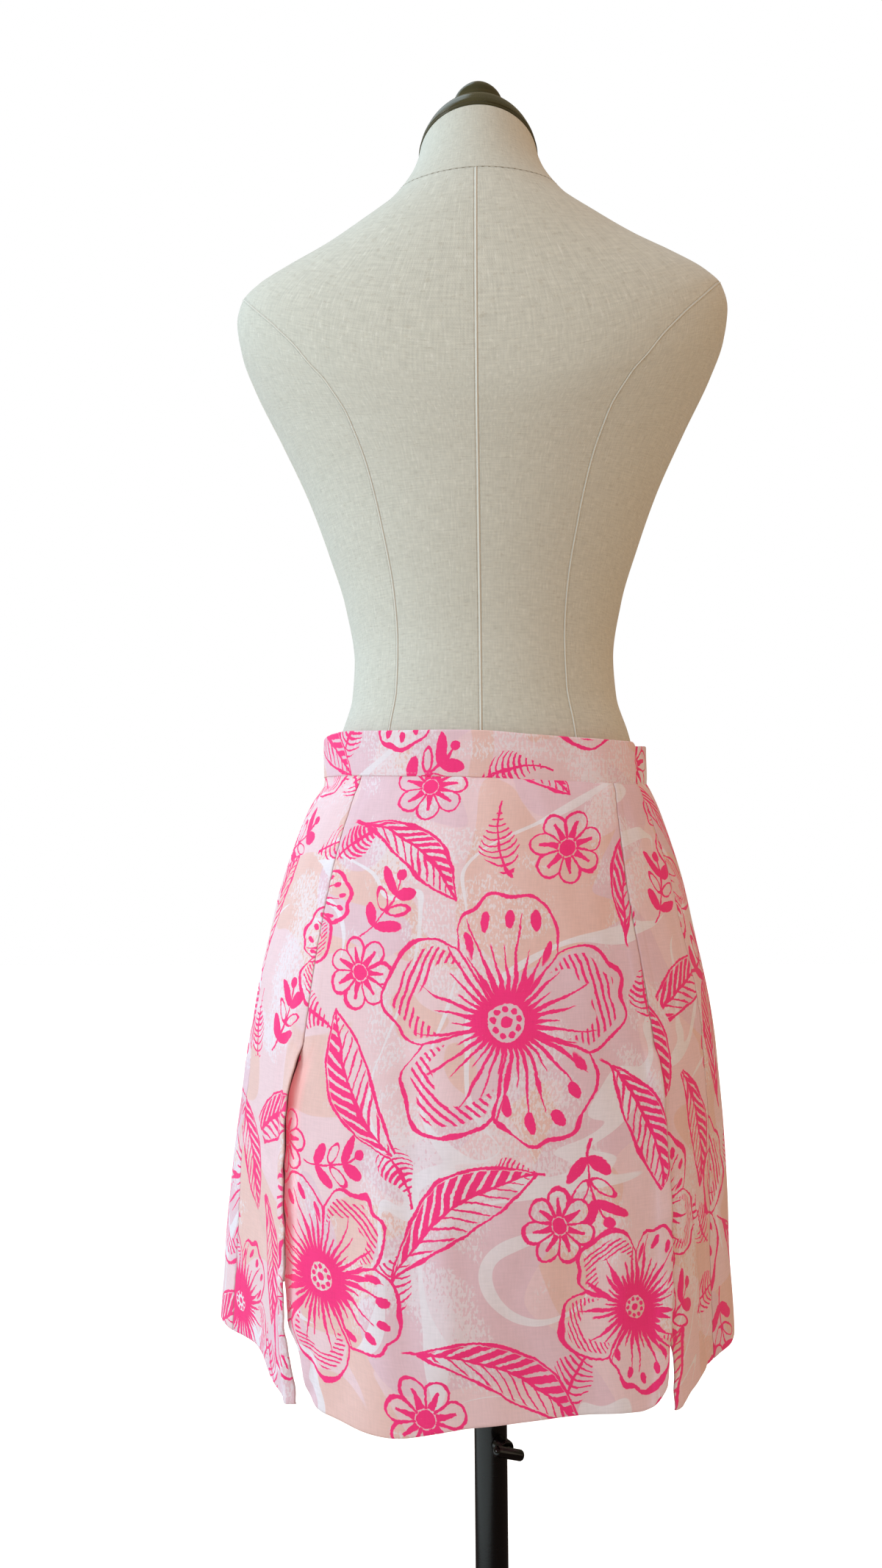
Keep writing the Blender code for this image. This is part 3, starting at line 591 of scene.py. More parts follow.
def cloth_waves(angle, height):
    """The slight unevenness of hung cotton, all over the skirt."""
    turn = np.radians(angle)
    broad = np.sin(19.0 * turn + 2.0 * np.sin(17.0 * height))
    broad = broad * np.sin(41.0 * height + 2.0 * np.sin(4.0 * turn))
    fine = np.sin(33.0 * turn + 57.0 * height) * np.sin(26.0 * height - 11.0 * turn)
    return CLOTH_WAVE * (broad + 0.6 * fine)


def skirt_panel_points(panel):
    """Rows of points of a skirt panel, with its folds and edges, and what its finish draws on it."""
    hem_turn = math.radians(panel.right_edge(HEM_HEIGHT) - panel.left_edge(HEM_HEIGHT))
    hem_width = hem_turn * SKIRT.at(HEM_HEIGHT).half_width
    columns = columns_between(hem_width, EDGE_STEPS, CLOTH_SPACING)
    rows = rows_between(BAND_BOTTOM - HEM_HEIGHT, CLOTH_SPACING, HEM_STEPS)
    u, v = np.meshgrid(columns, rows)
    top_angle = panel.left_edge(BAND_BOTTOM) * (1 - u) + panel.right_edge(BAND_BOTTOM) * u
    hem_angle = panel.left_edge(HEM_HEIGHT) * (1 - u) + panel.right_edge(HEM_HEIGHT) * u
    to_left, to_right = u * hem_width, (1 - u) * hem_width
    rise = corner_rise(to_left, panel.corners[0]) + corner_rise(to_right, panel.corners[1])
    top = band_bottom(top_angle) + BAND_TUCK
    height = top * (1 - v) + (hem_height(hem_angle) + rise) * v
    angle = panel.left_edge(height) * (1 - u) + panel.right_edge(height) * u
    push = fold_push(angle, height) + crease_push(angle, height) + cloth_waves(angle, height)
    push = push + edge_relief(panel.left_kind, to_left, height)
    push = push + edge_relief(panel.right_kind, to_right, height)
    if panel.right_kind == "slit on top":
        push = push + lip_lift(height, to_right)
    if panel.name == "back_side_panel_left":
        push = push + left_lip_fold(to_right, height)
        rolled = smooth_step((LEFT_ROLL_START - height) / LEFT_ROLL_RUN)
        push = push - LEFT_ROLL * rolled * smooth_step(1.0 - to_right / LEFT_ROLL_WIDTH)
    to_hem = height - hem_height(hem_angle) - rise
    push = push - HEM_ROLL * smooth_step(1.0 - to_hem / HEM_ROLL_RUN)
    push = push - TOP_DIP * np.exp(-(((top - height) / TOP_DIP_RUN) ** 2)) + band_follow(angle, top - height)
    section = SKIRT.at(height)
    # A painted glow on the centre panel beside the left slit's edge, standing in for light through the thin
    # cloth
    glow = np.zeros_like(to_left)
    if panel.name == "back_center_panel":
        glow = left_slit_open(height) * smooth_step((GLOW_WIDTH - to_left) / GLOW_FADE)
    # One metre is added to each distance, because a piece without this value reads as zero
    marks = {"from_edge": np.minimum(to_left, to_right) + 1.0, "slit_glow": glow}
    return oval_point(section, angle) + oval_outward(section, angle) * push[..., None], marks


def cloth_lengths(points, middle_column):
    """UV of a sheet in metres: along each row from its middle column, and down each column from its top."""
    along = np.linalg.norm(np.diff(points, axis=1), axis=2)
    along = np.concatenate([np.zeros((len(points), 1)), np.cumsum(along, axis=1)], axis=1)
    along = along - along[:, middle_column : middle_column + 1]
    down = np.linalg.norm(np.diff(points, axis=0), axis=2)
    down = np.concatenate([np.zeros((1, points.shape[1])), np.cumsum(down, axis=0)], axis=0)
    return np.stack([along, points[:1, :, 2] - BAND_BOTTOM - down], axis=-1)


def sheet_mesh(name, points, uv=None, attributes=None):
    """A mesh through rows of points from the top down, its faces outwards."""
    rows, columns = points.shape[:2]
    index = np.arange(rows * columns).reshape(rows, columns)
    before, after = index[:, :-1], index[:, 1:]
    quads = np.stack([before[:-1], before[1:], after[1:], after[:-1]], axis=-1).reshape(-1, 4)
    mesh = bpy.data.meshes.new(name)
    mesh.from_pydata(points.reshape(-1, 3).tolist(), [], quads.tolist())
    mesh.shade_smooth()
    if uv is not None:
        layer = mesh.uv_layers.new(name="cloth")
        corners = uv.reshape(-1, 2)[quads.ravel()]
        layer.data.foreach_set("uv", corners.astype(np.float32).ravel())
    for key, values in (attributes or {}).items():
        made = mesh.attributes.new(key, "FLOAT", "POINT")
        made.data.foreach_set("value", values.astype(np.float32).ravel())
    return mesh


def add_piece(name, mesh, *materials):
    """A piece of the object with these materials."""
    piece = bpy.data.objects.new(name, mesh)
    for material in materials:
        mesh.materials.append(material)
    bpy.context.scene.collection.objects.link(piece)
    return piece


def give_thickness(piece, thickness, inner_material=0):
    """Cloth's thickness to both sides of its sheet, with the given material slot on its inner face."""
    solidify = piece.modifiers.new("thickness", "SOLIDIFY")
    solidify.thickness = thickness
    solidify.offset = 0.0
    solidify.use_even_offset = True
    solidify.material_offset = inner_material
    return piece


def place_on(piece, body, slot, *nodes):
    """The piece moves with a body and stands for these solids, which are hidden. The slot is not used."""
    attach(piece, body)
    if nodes:
        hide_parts(*nodes)
    return piece


# Each panel's cut is the largest width and length of its pattern piece, with its seams, facings and hem
SKIRT_PANELS = (
    SkirtPanel(
        "back_center_panel",
        partial(slit_edge, side="left", on_top=False), partial(slit_edge, side="right", on_top=True),
        "slit under", "slit on top",
        (LEFT_CORNER, RIGHT_CORNER), (0.030, 0.020), (0.305, 0.475), 0.122,
    ),
    SkirtPanel(
        "back_side_panel_left",
        partial(side_edge, side="left", step=1), partial(slit_edge, side="left", on_top=True),
        "seam", "slit on top",
        (0.0, 0.0), (-0.183, 0.057), (0.135, 0.475), 0.047,
    ),
    SkirtPanel(
        "back_side_panel_right",
        partial(slit_edge, side="right", on_top=False), partial(side_edge, side="right", step=-1),
        "slit under", "seam",
        (0.0, 0.0), (0.201, -0.041), (0.110, 0.475), 0.038,
    ),
    SkirtPanel(
        "front_panel",
        partial(side_edge, side="right", step=1), partial(side_edge, side="left", step=-1, whole_turns=1),
        "seam", "seam",
        (0.0, 0.0), (0.060, 0.150), (0.660, 0.475), 0.262,
    ),
)


def make_skirt_panel(panel, outer, inner):
    """One panel of the skirt, as hung cloth with a finish on each face."""
    points, marks = skirt_panel_points(panel)
    uv = cloth_lengths(points, points.shape[1] // 2) + np.array(panel.print_place)
    mesh = sheet_mesh(panel.name, points, uv, attributes=marks)
    piece = give_thickness(add_piece(f"skirt_{panel.name}", mesh, outer, inner), CLOTH_THICKNESS, 1)
    place_on(piece, "form", "printed_cloth", panel.name)
    return piece


def leg_point(side, height, along):
    """Points of one leg of the shorts. Along runs from -1 to 1: centre back, outer side, centre front."""
    section = SHORTS.at(height)
    closing = smooth_step((LEG_CLOSE_TOP - height) / (LEG_CLOSE_TOP - CROTCH_HEIGHT))
    end_turn = np.radians(90.0 * (1.0 - closing) + LEG_CLOSED_ANGLE * closing)
    below = (CROTCH_PUSH_TOP - height) / (CROTCH_PUSH_TOP - CROTCH_HEIGHT)
    pushed = CROTCH_SHIFT * smooth_step(below)
    outward = 1.0 if side == "right" else -1.0
    squash = 1.0 - (1.0 - LEFT_LEG_DEPTH) * closing * (side == "left")
    parting = SEAM_GAP / 2 + SHORTS_WALL / 2 * np.cos(end_turn) + LEG_PARTING * closing
    middle = outward * pushed + parting
    half_width = (section.half_width - middle) / (1.0 + np.cos(end_turn))
    turn = along * (math.pi - end_turn)
    depth = np.where(along < 0, section.back_depth, section.front_depth) * squash
    across = middle + half_width * (np.cos(end_turn) + np.cos(turn))
    return np.stack([outward * across, depth * np.sin(turn), height], axis=-1)


def leg_outward(along):
    """Directions that point roughly straight out of the right leg, in plan."""
    turn = along * math.pi / 1.2
    return np.stack([np.cos(turn), np.sin(turn), 0 * along], axis=-1)


def make_shorts_leg(side, material):
    """One leg of the shorts, from the waistband to its hem."""
    places = np.linspace(-1.0, 1.0, 97)
    if side == "left":
        places = places[::-1]
    rows = rows_between(BAND_BOTTOM - SHORTS_HEM, CLOTH_SPACING, HEM_STEPS)
    along, v = np.meshgrid(places, rows)
    band_angle = 90.0 * (1.0 + along) * (1.0 if side == "right" else -1.0)
    height = (band_bottom(band_angle) - SEAM_GAP) * (1 - v) + SHORTS_HEM * v
    points = leg_point(side, height, along)
    hem = 0.0004 * smooth_step((SHORTS_HEM + HEM_TURN - height) / 0.0015)
    outward = leg_outward(along)
    outward[..., 0] *= 1.0 if side == "right" else -1.0
    points = points + outward * hem[..., None]
    mesh = sheet_mesh(f"shorts_{side}", points, cloth_lengths(points, points.shape[1] // 2))
    piece = give_thickness(add_piece(f"shorts_leg_{side}", mesh, material), SHORTS_THICKNESS)
    place_on(piece, "form", "shorts_cloth", f"shorts_{side}")
    return piece


def band_lift(angle):
    """Outward lift of the band's lapping end over the other end."""
    return BAND_LIFT * smooth_step((angle - (BAND_LAP_END - BAND_LIFT_RUN)) / (BAND_LIFT_RUN / 2))


def band_top(angle):
    """Height of the band's top edge. The lapping end has a rounded corner, and the other end sits lower."""
    to_end = np.radians(BAND_LAP_END + 360.0 - angle) * SKIRT_SECTIONS[0].half_width
    under_step = BAND_STEP * smooth_step((BAND_UNDER_END + BAND_STEP_RUN - angle) / BAND_STEP_RUN)
    return BAND_TOP - BAND_LINE.at(wrapped(angle)).top - under_step - corner_rise(to_end, BAND_CORNER)


def band_profile():
    """The band's section: pairs of a place across its wall, from -1 to 1, and a share of its height.

    It runs up the outer face, over the folded top edge, down the inner face and round the lower edge.
    """
    outer = [(1.0, share) for share in np.linspace(0.10, 0.92, 15)]
    over = [(math.cos(turn), 0.96 + 0.04 * math.sin(turn)) for turn in np.linspace(0.0, math.pi, 9)]
    inner = [(-1.0, share) for share in np.linspace(0.92, 0.10, 6)]
    under = [(math.cos(turn), 0.03 + 0.03 * math.sin(turn)) for turn in np.linspace(-math.pi, 0.0, 7)]
    return outer + over + inner + under


def make_waistband(material):
    """The band starts under its own end at the wearer's right side and goes once round by the front."""
    ring = SKIRT_SECTIONS[0]
    end = BAND_LAP_END + 360.0
    near_end = end - np.array([3.0, 2.4, 1.8, 1.2, 0.8, 0.5, 0.3, 0.15, 0.05, 0.0])
    near_start = [BAND_UNDER_END, BAND_UNDER_END + 0.4]
    angle = np.concatenate([near_start, np.arange(BAND_UNDER_END + 1.5, end - 3.5, 0.75), near_end])
    profile = band_profile()
    lift = np.where(angle > 360.0, band_lift(angle - 360.0), 0.0)
    low, high = band_bottom(angle), band_top(angle)
    to_end = np.radians(end - angle) * ring.half_width
    rounding = np.sqrt(np.clip(1.0 - (1.0 - np.clip(to_end / BAND_EDGE_ROUND, 0.0, 1.0)) ** 2, 0.02, 1.0))
    lines = []
    for across, share in profile:
        height = low * (1 - share) + high * share
        billow = 0.00025 * np.sin(np.clip(share, 0, 1) * math.pi)
        billow = billow * np.sin(np.radians(angle) * 5.0 + share * 3.0)
        from_row = height - low - BAND_STITCH_RISE
        stitch_dip = -0.00035 * np.exp(-((from_row / 0.0010) ** 2)) * (across > 0.9)
        waves = pucker(np.abs(from_row), angle * 0.0023, 0.0075, 0.00007, 0.004) * (across > 0.9)
        out = lift - BAND_INSET + across * BAND_WALL / 2 * rounding + billow + stitch_dip + waves
        point = oval_point(ring, angle) + oval_outward(ring, angle) * out[:, None]
        point[:, 2] = height
        lines.append(point)
    points = np.array(lines)[::-1]
    around = np.cumsum(np.r_[0.0, np.linalg.norm(np.diff(points[len(profile) // 2], axis=0), axis=1)])
    along = np.tile(around - around[-1] + BAND_PRINT_PLACE, (len(profile), 1))
    uv = np.stack([along, points[..., 2] - BAND_BOTTOM], axis=-1)
    points = np.concatenate([points, points[:1]])
    uv = np.concatenate([uv, uv[:1]])
    mesh = sheet_mesh("waistband", points, uv)
    close_mesh(mesh, faces_out=True)
    piece = add_piece("skirt_waistband", mesh, material)
    place_on(piece, "form", "printed_cloth", "waistband")
    return piece


def close_mesh(mesh, faces_out=False):
    """Merges the rows or columns that meet, and closes the open ends, with all faces outwards where asked."""
    shape = bmesh.new()
    shape.from_mesh(mesh)
    bmesh.ops.remove_doubles(shape, verts=shape.verts, dist=0.000001)
    bmesh.ops.holes_fill(shape, edges=[edge for edge in shape.edges if edge.is_boundary])
    if faces_out:
        bmesh.ops.recalc_face_normals(shape, faces=shape.faces)
    shape.to_mesh(mesh)
    shape.free()
    mesh.shade_smooth()


def bust_push(angle, height):
    """How far the form's plain, general bust pushes its front outwards."""
    up = (height - BUST_HEIGHT) / BUST_RISE
    across = (np.abs(wrapped(angle - 180.0)) - BUST_ANGLE) / BUST_SPREAD
    return BUST_PUSH * np.exp(-up * up - across * across)


def even_form_rows(count):
    """Heights down the form, evenly spaced along its surface."""
    heights = np.linspace(NECK_TOP, FORM_BOTTOM, 1500)
    side, back = oval_point(FORM.at(heights), 90.0), oval_point(FORM.at(heights), 0.0)
    steps = np.maximum(*(np.linalg.norm(np.diff(line, axis=0), axis=1) for line in (side, back)))
    run = np.concatenate([[0.0], np.cumsum(steps)])
    return np.interp(np.linspace(0.0, run[-1], count), run, heights)


def line_distance(field, points):
    """Signed distance over the surface to the line where a field is zero."""
    down, along = np.gradient(field)
    step_down = np.linalg.norm(np.gradient(points, axis=0), axis=2)
    step_along = np.linalg.norm(np.gradient(points, axis=1), axis=2)
    slope = np.hypot(down / np.maximum(step_down, 1e-6), along / np.maximum(step_along, 1e-6))
    return field / np.maximum(slope, 1e-6)


def neck_seam_height(angle):
    """Height of the seam round the neck, which rises to its sides."""
    return NECK_SEAM_HEIGHT + NECK_SEAM_RISE * np.sin(np.radians(angle)) ** 4


def form_surface(angle, height, out=0.0):
    """Points on the form's cover, or a little out of it. The top of its neck leans forward."""
    section = FORM.at(height)
    push = bust_push(angle, height) + out
    points = oval_point(section, angle) + oval_outward(section, angle) * push[..., None]
    lean = math.tan(math.radians(CAP_LEAN)) * smooth_step((height - LEAN_START) / (NECK_TOP - LEAN_START))
    points[..., 2] -= lean * (points[..., 1] - NECK_BACK)
    return points


def make_torso(material):
    """The form's linen cover. Its attributes hold the signed distances to its seams, for the seam lines."""
    turns = np.arange(FORM_COLUMNS + 1) * 360.0 / FORM_COLUMNS
    angle, height = np.meshgrid(turns, even_form_rows(FORM_ROWS))
    points = form_surface(angle, height)
    from_middle = np.minimum(np.abs(wrapped(angle)), 180.0 - np.abs(wrapped(angle)))
    attributes = {
        "middle_seam": points[..., 0],
        "princess_seam": line_distance(from_middle - PRINCESS_LINE.at(height).angle, points),
        "side_seam": line_distance(np.abs(wrapped(angle)) - 90.0, points),
        "neck_seam": line_distance(height - neck_seam_height(angle), points),
    }
    around = np.radians(angle) * 0.13
    uv = np.stack([around, height], axis=-1)
    mesh = sheet_mesh("torso", points, uv, attributes=attributes)
    piece = add_piece("linen_torso", mesh, material)
    close_ends(mesh)
    return place_on(piece, "form", "linen", "torso")


def close_ends(mesh):
    """Closes a body's open ends, and keeps its sharp edges sharp."""
    close_mesh(mesh)
    mesh.set_sharp_from_angle(angle=math.radians(40))


def turned_mesh(name, profile, steps, stretch=1.0):
    """A turned body. Its profile runs down its outer side, from the axis back to the axis or to its start."""
    angle = np.arange(steps + 1) * 2.0 * math.pi / steps
    rows = []
    for point in profile:
        across = point.radius * np.sin(angle)
        along = -stretch * point.radius * np.cos(angle)
        rows.append(np.stack([across, along, 0 * angle + point.height], axis=-1))
    mesh = sheet_mesh(name, np.array(rows))
    close_ends(mesh)
    return mesh


def rounded(corners, radius, steps=5):
    """A profile with its inner corners rounded. The corners are pairs of radius and height."""
    out = [corners[0]]
    for before, corner, after in zip(corners[:-2], corners[1:-1], corners[2:]):
        corner, back, ahead = Vector(corner), Vector(before) - Vector(corner), Vector(after) - Vector(corner)
        reach = min(radius, back.length * 0.45, ahead.length * 0.45)
        start, end = corner + back.normalized() * reach, corner + ahead.normalized() * reach
        for step in range(steps + 1):
            t = step / steps
            out.append(tuple(start * (1 - t) ** 2 + corner * 2 * t * (1 - t) + end * t * t))
    out.append(corners[-1])
    return [Turned(*point) for point in out]


CAP_FOOT = NECK_TOP + SEAM_GAP
KNOB_FOOT = CAP_FOOT + CAP_SEAT + SEAM_GAP


def lean_forward(mesh):
    """Turns a mesh about the neck's back rim, as a form's neck plate slopes down to its front."""
    pivot = Vector((0.0, NECK_BACK, NECK_TOP))
    turn = Matrix.Rotation(math.radians(-CAP_LEAN), 4, "X")
    mesh.transform(Matrix.Translation(pivot) @ turn @ Matrix.Translation(-pivot))


def make_neck_cap(material):
    """The turned cap: a flat seat for the knob, a low dome, and a thin rim."""
    corners = (
        (0.0, CAP_SEAT), (0.0205, CAP_SEAT - 0.0004), (0.0260, 0.0400), (0.0315, 0.0340), (0.0390, 0.0254),
        (0.0450, 0.0168), (0.0488, 0.0080), (0.0497, 0.0042), (0.0490, 0.0034), (0.0490, 0.0028),
        (0.0503, 0.0020), (0.0503, 0.0), (0.0, 0.0),
    )
    profile = [Turned(point.radius, point.height + CAP_FOOT) for point in rounded(corners, 0.0060)]
    mesh = turned_mesh("neck_cap", profile, 128, CAP_STRETCH)
    lean_forward(mesh)
    return place_on(add_piece("lacquered_neck_cap", mesh, material), "form", "cap_gloss", "neck_cap")


def make_neck_knob(material):
    """The turned knob on the cap's seat."""
    corners = (
        (0.0, 0.0302), (0.0070, 0.0296), (0.0112, 0.0274), (0.0152, 0.0234), (0.0188, 0.0188),
        (0.0211, 0.0143), (0.0213, 0.0090), (0.0207, 0.0025), (0.0202, 0.0010), (0.0202, 0.0), (0.0, 0.0),
    )
    profile = [Turned(point.radius, point.height + KNOB_FOOT) for point in rounded(corners, 0.0040)]
    mesh = turned_mesh("neck_knob", profile, 96)
    lean_forward(mesh)
    return place_on(add_piece("lacquered_neck_knob", mesh, material), "form", "cap_gloss", "neck_knob")


def make_base(material):
    """The round foot, with a collar that the tube stands on."""
    corners = (
        (0.0, BASE_COLLAR_TOP), (0.0190, BASE_COLLAR_TOP), (0.0210, 0.0165), (0.0240, 0.0115),
        (0.0340, 0.0095), (BASE_RADIUS - 0.0060, 0.0075), (BASE_RADIUS - 0.0012, 0.0062),
        (BASE_RADIUS, 0.0040), (BASE_RADIUS, 0.0), (0.0, 0.0),
    )
    mesh = turned_mesh("stand_base", rounded(corners, 0.0012), 160)
    return place_on(add_piece("round_stand_base", mesh, material), "stand", "pole_black", "stand_base")


def make_tube(material):
    """The outer tube, which the rod slides in."""
    bottom = BASE_COLLAR_TOP + SEAM_GAP
    middle = (bottom + TUBE_TOP) / 2
    corners = (
        (TUBE_BORE, middle), (TUBE_BORE, TUBE_TOP), (TUBE_RADIUS, TUBE_TOP),
        (TUBE_RADIUS, bottom), (TUBE_BORE, bottom), (TUBE_BORE, middle),
    )
    mesh = turned_mesh("stand_tube", rounded(corners, 0.0007, 3), 72)
    return place_on(add_piece("outer_tube", mesh, material), "stand", "pole_black", "stand_tube")


def make_rod(material):
    """The inner rod, with the flange that carries the form."""
    top = FORM_BOTTOM - SEAM_GAP
    under = top - FLANGE_THICKNESS
    corners = (
        (0.0, top), (FLANGE_RADIUS, top), (FLANGE_RADIUS, under), (ROD_RADIUS + 0.006, under),
        (ROD_RADIUS, under - 0.008), (ROD_RADIUS, ROD_BOTTOM + 0.002), (ROD_RADIUS - 0.002, ROD_BOTTOM),
        (0.0, ROD_BOTTOM),
    )
    mesh = turned_mesh("form_rod", rounded(corners, 0.0015, 4), 64)
    return place_on(add_piece("inner_rod", mesh, material), "rod", "pole_black", "form_rod")


def clamp_frame():
    """Matrix from the clamp's own axes to the frame: its X runs out of the tube."""
    turn = Matrix.Rotation(math.radians(CLAMP_ANGLE - 90.0), 4, "Z")
    return Matrix.Translation((0.0, 0.0, CLAMP_HEIGHT)) @ turn


def make_boss(material):
    """The threaded boss, with its inner end sunk to the tube's round side."""
    corners = (
        (0.0, BOSS_REACH), (SCREW_RADIUS + 0.0006, BOSS_REACH), (BOSS_RADIUS - 0.0009, BOSS_REACH),
        (BOSS_RADIUS, BOSS_REACH - 0.0012), (BOSS_RADIUS, TUBE_RADIUS), (0.0, TUBE_RADIUS),
    )
    mesh = turned_mesh("clamp_boss", rounded(corners, 0.0005, 3), 48)
    mesh.transform(Matrix.Rotation(math.radians(90), 4, "Y"))
    for vertex in mesh.vertices:
        if vertex.co.x < TUBE_RADIUS + 0.0005:
            reach = TUBE_RADIUS + SEAM_GAP
            vertex.co.x = math.sqrt(reach**2 - vertex.co.y**2)
    mesh.transform(clamp_frame())
    return place_on(add_piece("threaded_boss", mesh, material), "stand", "pole_black", "clamp_boss")


def make_bar(material):
    """The clamp's bar, with round ends, on its screw."""
    half = BAR_LENGTH / 2
    ends = []
    for turn in np.linspace(0, math.pi / 2, 8):
        height = half - BAR_RADIUS * 0.75 * (1 - math.cos(turn))
        ends.append(Turned(BAR_RADIUS * math.sin(turn), height))
    profile = ends + [Turned(point.radius, -point.height) for point in ends[::-1]]
    bar = turned_mesh("clamp_bar", profile, 40)
    bar.transform(
        Matrix.Translation((BAR_REACH, 0.0, 0.0))
        @ Matrix.Rotation(math.radians(-BAR_TILT), 4, "X")
        @ Matrix.Translation((0.0, BAR_SLIDE, 0.0))
        @ Matrix.Rotation(math.radians(90), 4, "X")
    )
    start = BOSS_REACH + SEAM_GAP
    thread = [Turned(0.0, BAR_REACH)]
    for ridge in range(9):
        height = BAR_REACH - (BAR_REACH - start) * (ridge + 0.5) / 9
        thread += [Turned(SCREW_RADIUS, height + 0.0002), Turned(SCREW_RADIUS - 0.0004, height - 0.0002)]
    thread += [Turned(SCREW_RADIUS - 0.0004, start), Turned(0.0, start)]
    screw = turned_mesh("clamp_screw", thread, 32)
    screw.transform(Matrix.Rotation(math.radians(90), 4, "Y"))
    pieces = [add_piece("clamp_bar_with_screw", bar, material), add_piece("screw_shank", screw, material)]
    for piece in pieces:
        piece.data.transform(clamp_frame())
    with bpy.context.temp_override(active_object=pieces[0], selected_editable_objects=pieces):
        bpy.ops.object.join()
    return place_on(pieces[0], "clamp", "pole_black", "clamp_bar")


# Sewn lines

BAND_STITCH_PITCH = 0.0029
SHORTS_STITCH_PITCH = 0.0031
NECK_STITCH_PITCH = 0.0052
THREAD = 0.00042
FORM_CORD = 0.00062
STITCH_VARIATION = {"Min": 0.86, "Max": 1.10, "Seed": 7}


def new_geometry_tree(name, *inputs):
    """A geometry tree with these named sizes. It gives back the tree and the nodes of its two ends."""
    tree = bpy.data.node_groups.new(name, "GeometryNodeTree")
    tree.interface.new_socket(name="Path", in_out="INPUT", socket_type="NodeSocketGeometry")
    for key in inputs:
        tree.interface.new_socket(name=key, in_out="INPUT", socket_type="NodeSocketFloat")
    tree.interface.new_socket(name="Material", in_out="INPUT", socket_type="NodeSocketMaterial")
    tree.interface.new_socket(name="Geometry", in_out="OUTPUT", socket_type="NodeSocketGeometry")
    return tree, tree.nodes.new("NodeGroupInput"), tree.nodes.new("NodeGroupOutput")


def finish_tree(tree, source, sink, made):
    """Ends a geometry tree: its instances become real and take the given material."""
    real = tree.nodes.new("GeometryNodeRealizeInstances")
    painted = tree.nodes.new("GeometryNodeSetMaterial")
    tree.links.new(made, real.inputs["Geometry"])
    tree.links.new(real.outputs["Geometry"], painted.inputs["Geometry"])
    tree.links.new(source.outputs["Material"], painted.inputs["Material"])
    tree.links.new(painted.outputs["Geometry"], sink.inputs["Geometry"])
    return tree


def stitch_tree():
    """Stitches along a path: small rounded lengths of thread, each a little uneven."""
    tree, source, sink = new_geometry_tree("stitch_row", "Pitch", "Length", "Thickness")
    link, new = tree.links.new, tree.nodes.new
    curve = new("GeometryNodeMeshToCurve")
    link(source.outputs["Path"], curve.inputs["Mesh"])
    even = new("GeometryNodeResampleCurve")
    even.mode = "LENGTH"
    link(curve.outputs["Curve"], even.inputs["Curve"])
    link(source.outputs["Pitch"], even.inputs["Length"])
    thread = new("GeometryNodeMeshUVSphere")
    thread.inputs["Segments"].default_value = 6
    thread.inputs["Rings"].default_value = 5
    thread.inputs["Radius"].default_value = 0.5
    sizes = new("ShaderNodeCombineXYZ")
    link(source.outputs["Length"], sizes.inputs["X"])
    link(source.outputs["Thickness"], sizes.inputs["Y"])
    link(source.outputs["Thickness"], sizes.inputs["Z"])
    shaped = new("GeometryNodeTransform")
    link(thread.outputs["Mesh"], shaped.inputs["Geometry"])
    link(sizes.outputs["Vector"], shaped.inputs["Scale"])
    along = new("GeometryNodeInputTangent")
    turned = new("FunctionNodeAlignRotationToVector")
    turned.axis = "X"
    link(along.outputs["Tangent"], turned.inputs["Vector"])
    uneven = new("FunctionNodeRandomValue")
    uneven.data_type = "FLOAT"
    for socket in uneven.inputs:
        if socket.enabled and socket.name in STITCH_VARIATION:
            socket.default_value = STITCH_VARIATION[socket.name]
    placed = new("GeometryNodeInstanceOnPoints")
    link(even.outputs["Curve"], placed.inputs["Points"])
    link(shaped.outputs["Geometry"], placed.inputs["Instance"])
    link(turned.outputs["Rotation"], placed.inputs["Rotation"])
    link(uneven.outputs[1], placed.inputs["Scale"])
    return finish_tree(tree, source, sink, placed.outputs["Instances"])


def cord_tree():
    """A thin raised cord along a path, as a turned seam shows under a form's cover."""
    tree, source, sink = new_geometry_tree("raised_seam", "Thickness")
    link, new = tree.links.new, tree.nodes.new
    curve = new("GeometryNodeMeshToCurve")
    link(source.outputs["Path"], curve.inputs["Mesh"])
    round_end = new("GeometryNodeCurvePrimitiveCircle")
    round_end.inputs["Resolution"].default_value = 7
    link(source.outputs["Thickness"], round_end.inputs["Radius"])
    swept = new("GeometryNodeCurveToMesh")
    swept.inputs["Fill Caps"].default_value = True
    link(curve.outputs["Curve"], swept.inputs["Curve"])
    link(round_end.outputs["Curve"], swept.inputs["Profile Curve"])
    return finish_tree(tree, source, sink, swept.outputs["Mesh"])


def sew(name, paths, tree, material, slot, closed=False, **sizes):
    """Runs a geometry tree along paths, each an array of points, and keeps the result as a plain mesh."""
    points, edges = [], []
    for path in paths:
        first = len(points)
        points += path.tolist()
        edges += [(index, index + 1) for index in range(first, len(points) - 1)]
        if closed:
            edges.append((len(points) - 1, first))
    mesh = bpy.data.meshes.new(name)
    mesh.from_pydata(points, edges, [])
    guide = add_piece(f"{name}_path", mesh)
    modifier = guide.modifiers.new("sewing", "NODES")
    modifier.node_group = tree
    values = {key.capitalize(): value for key, value in sizes.items()} | {"Material": material}
    for socket in tree.interface.items_tree:
        if socket.in_out == "INPUT" and socket.name in values:
            modifier[socket.identifier] = values[socket.name]
    evaluated = guide.evaluated_get(bpy.context.evaluated_depsgraph_get())
    sewn = bpy.data.meshes.new_from_object(evaluated)
    guide.modifiers.remove(modifier)
    bpy.data.objects.remove(guide)
    sewn.shade_smooth()
    return place_on(add_piece(name, sewn), "form", slot)


def band_outside(angle, out):
    """Points on the band's outer face at these angles, without their heights."""
    lift = np.where(angle > 360.0, band_lift(angle - 360.0), 0.0)
    away = lift - BAND_INSET + BAND_WALL / 2 + out
    return oval_point(SKIRT_SECTIONS[0], angle) + oval_outward(SKIRT_SECTIONS[0], angle) * away[:, None]


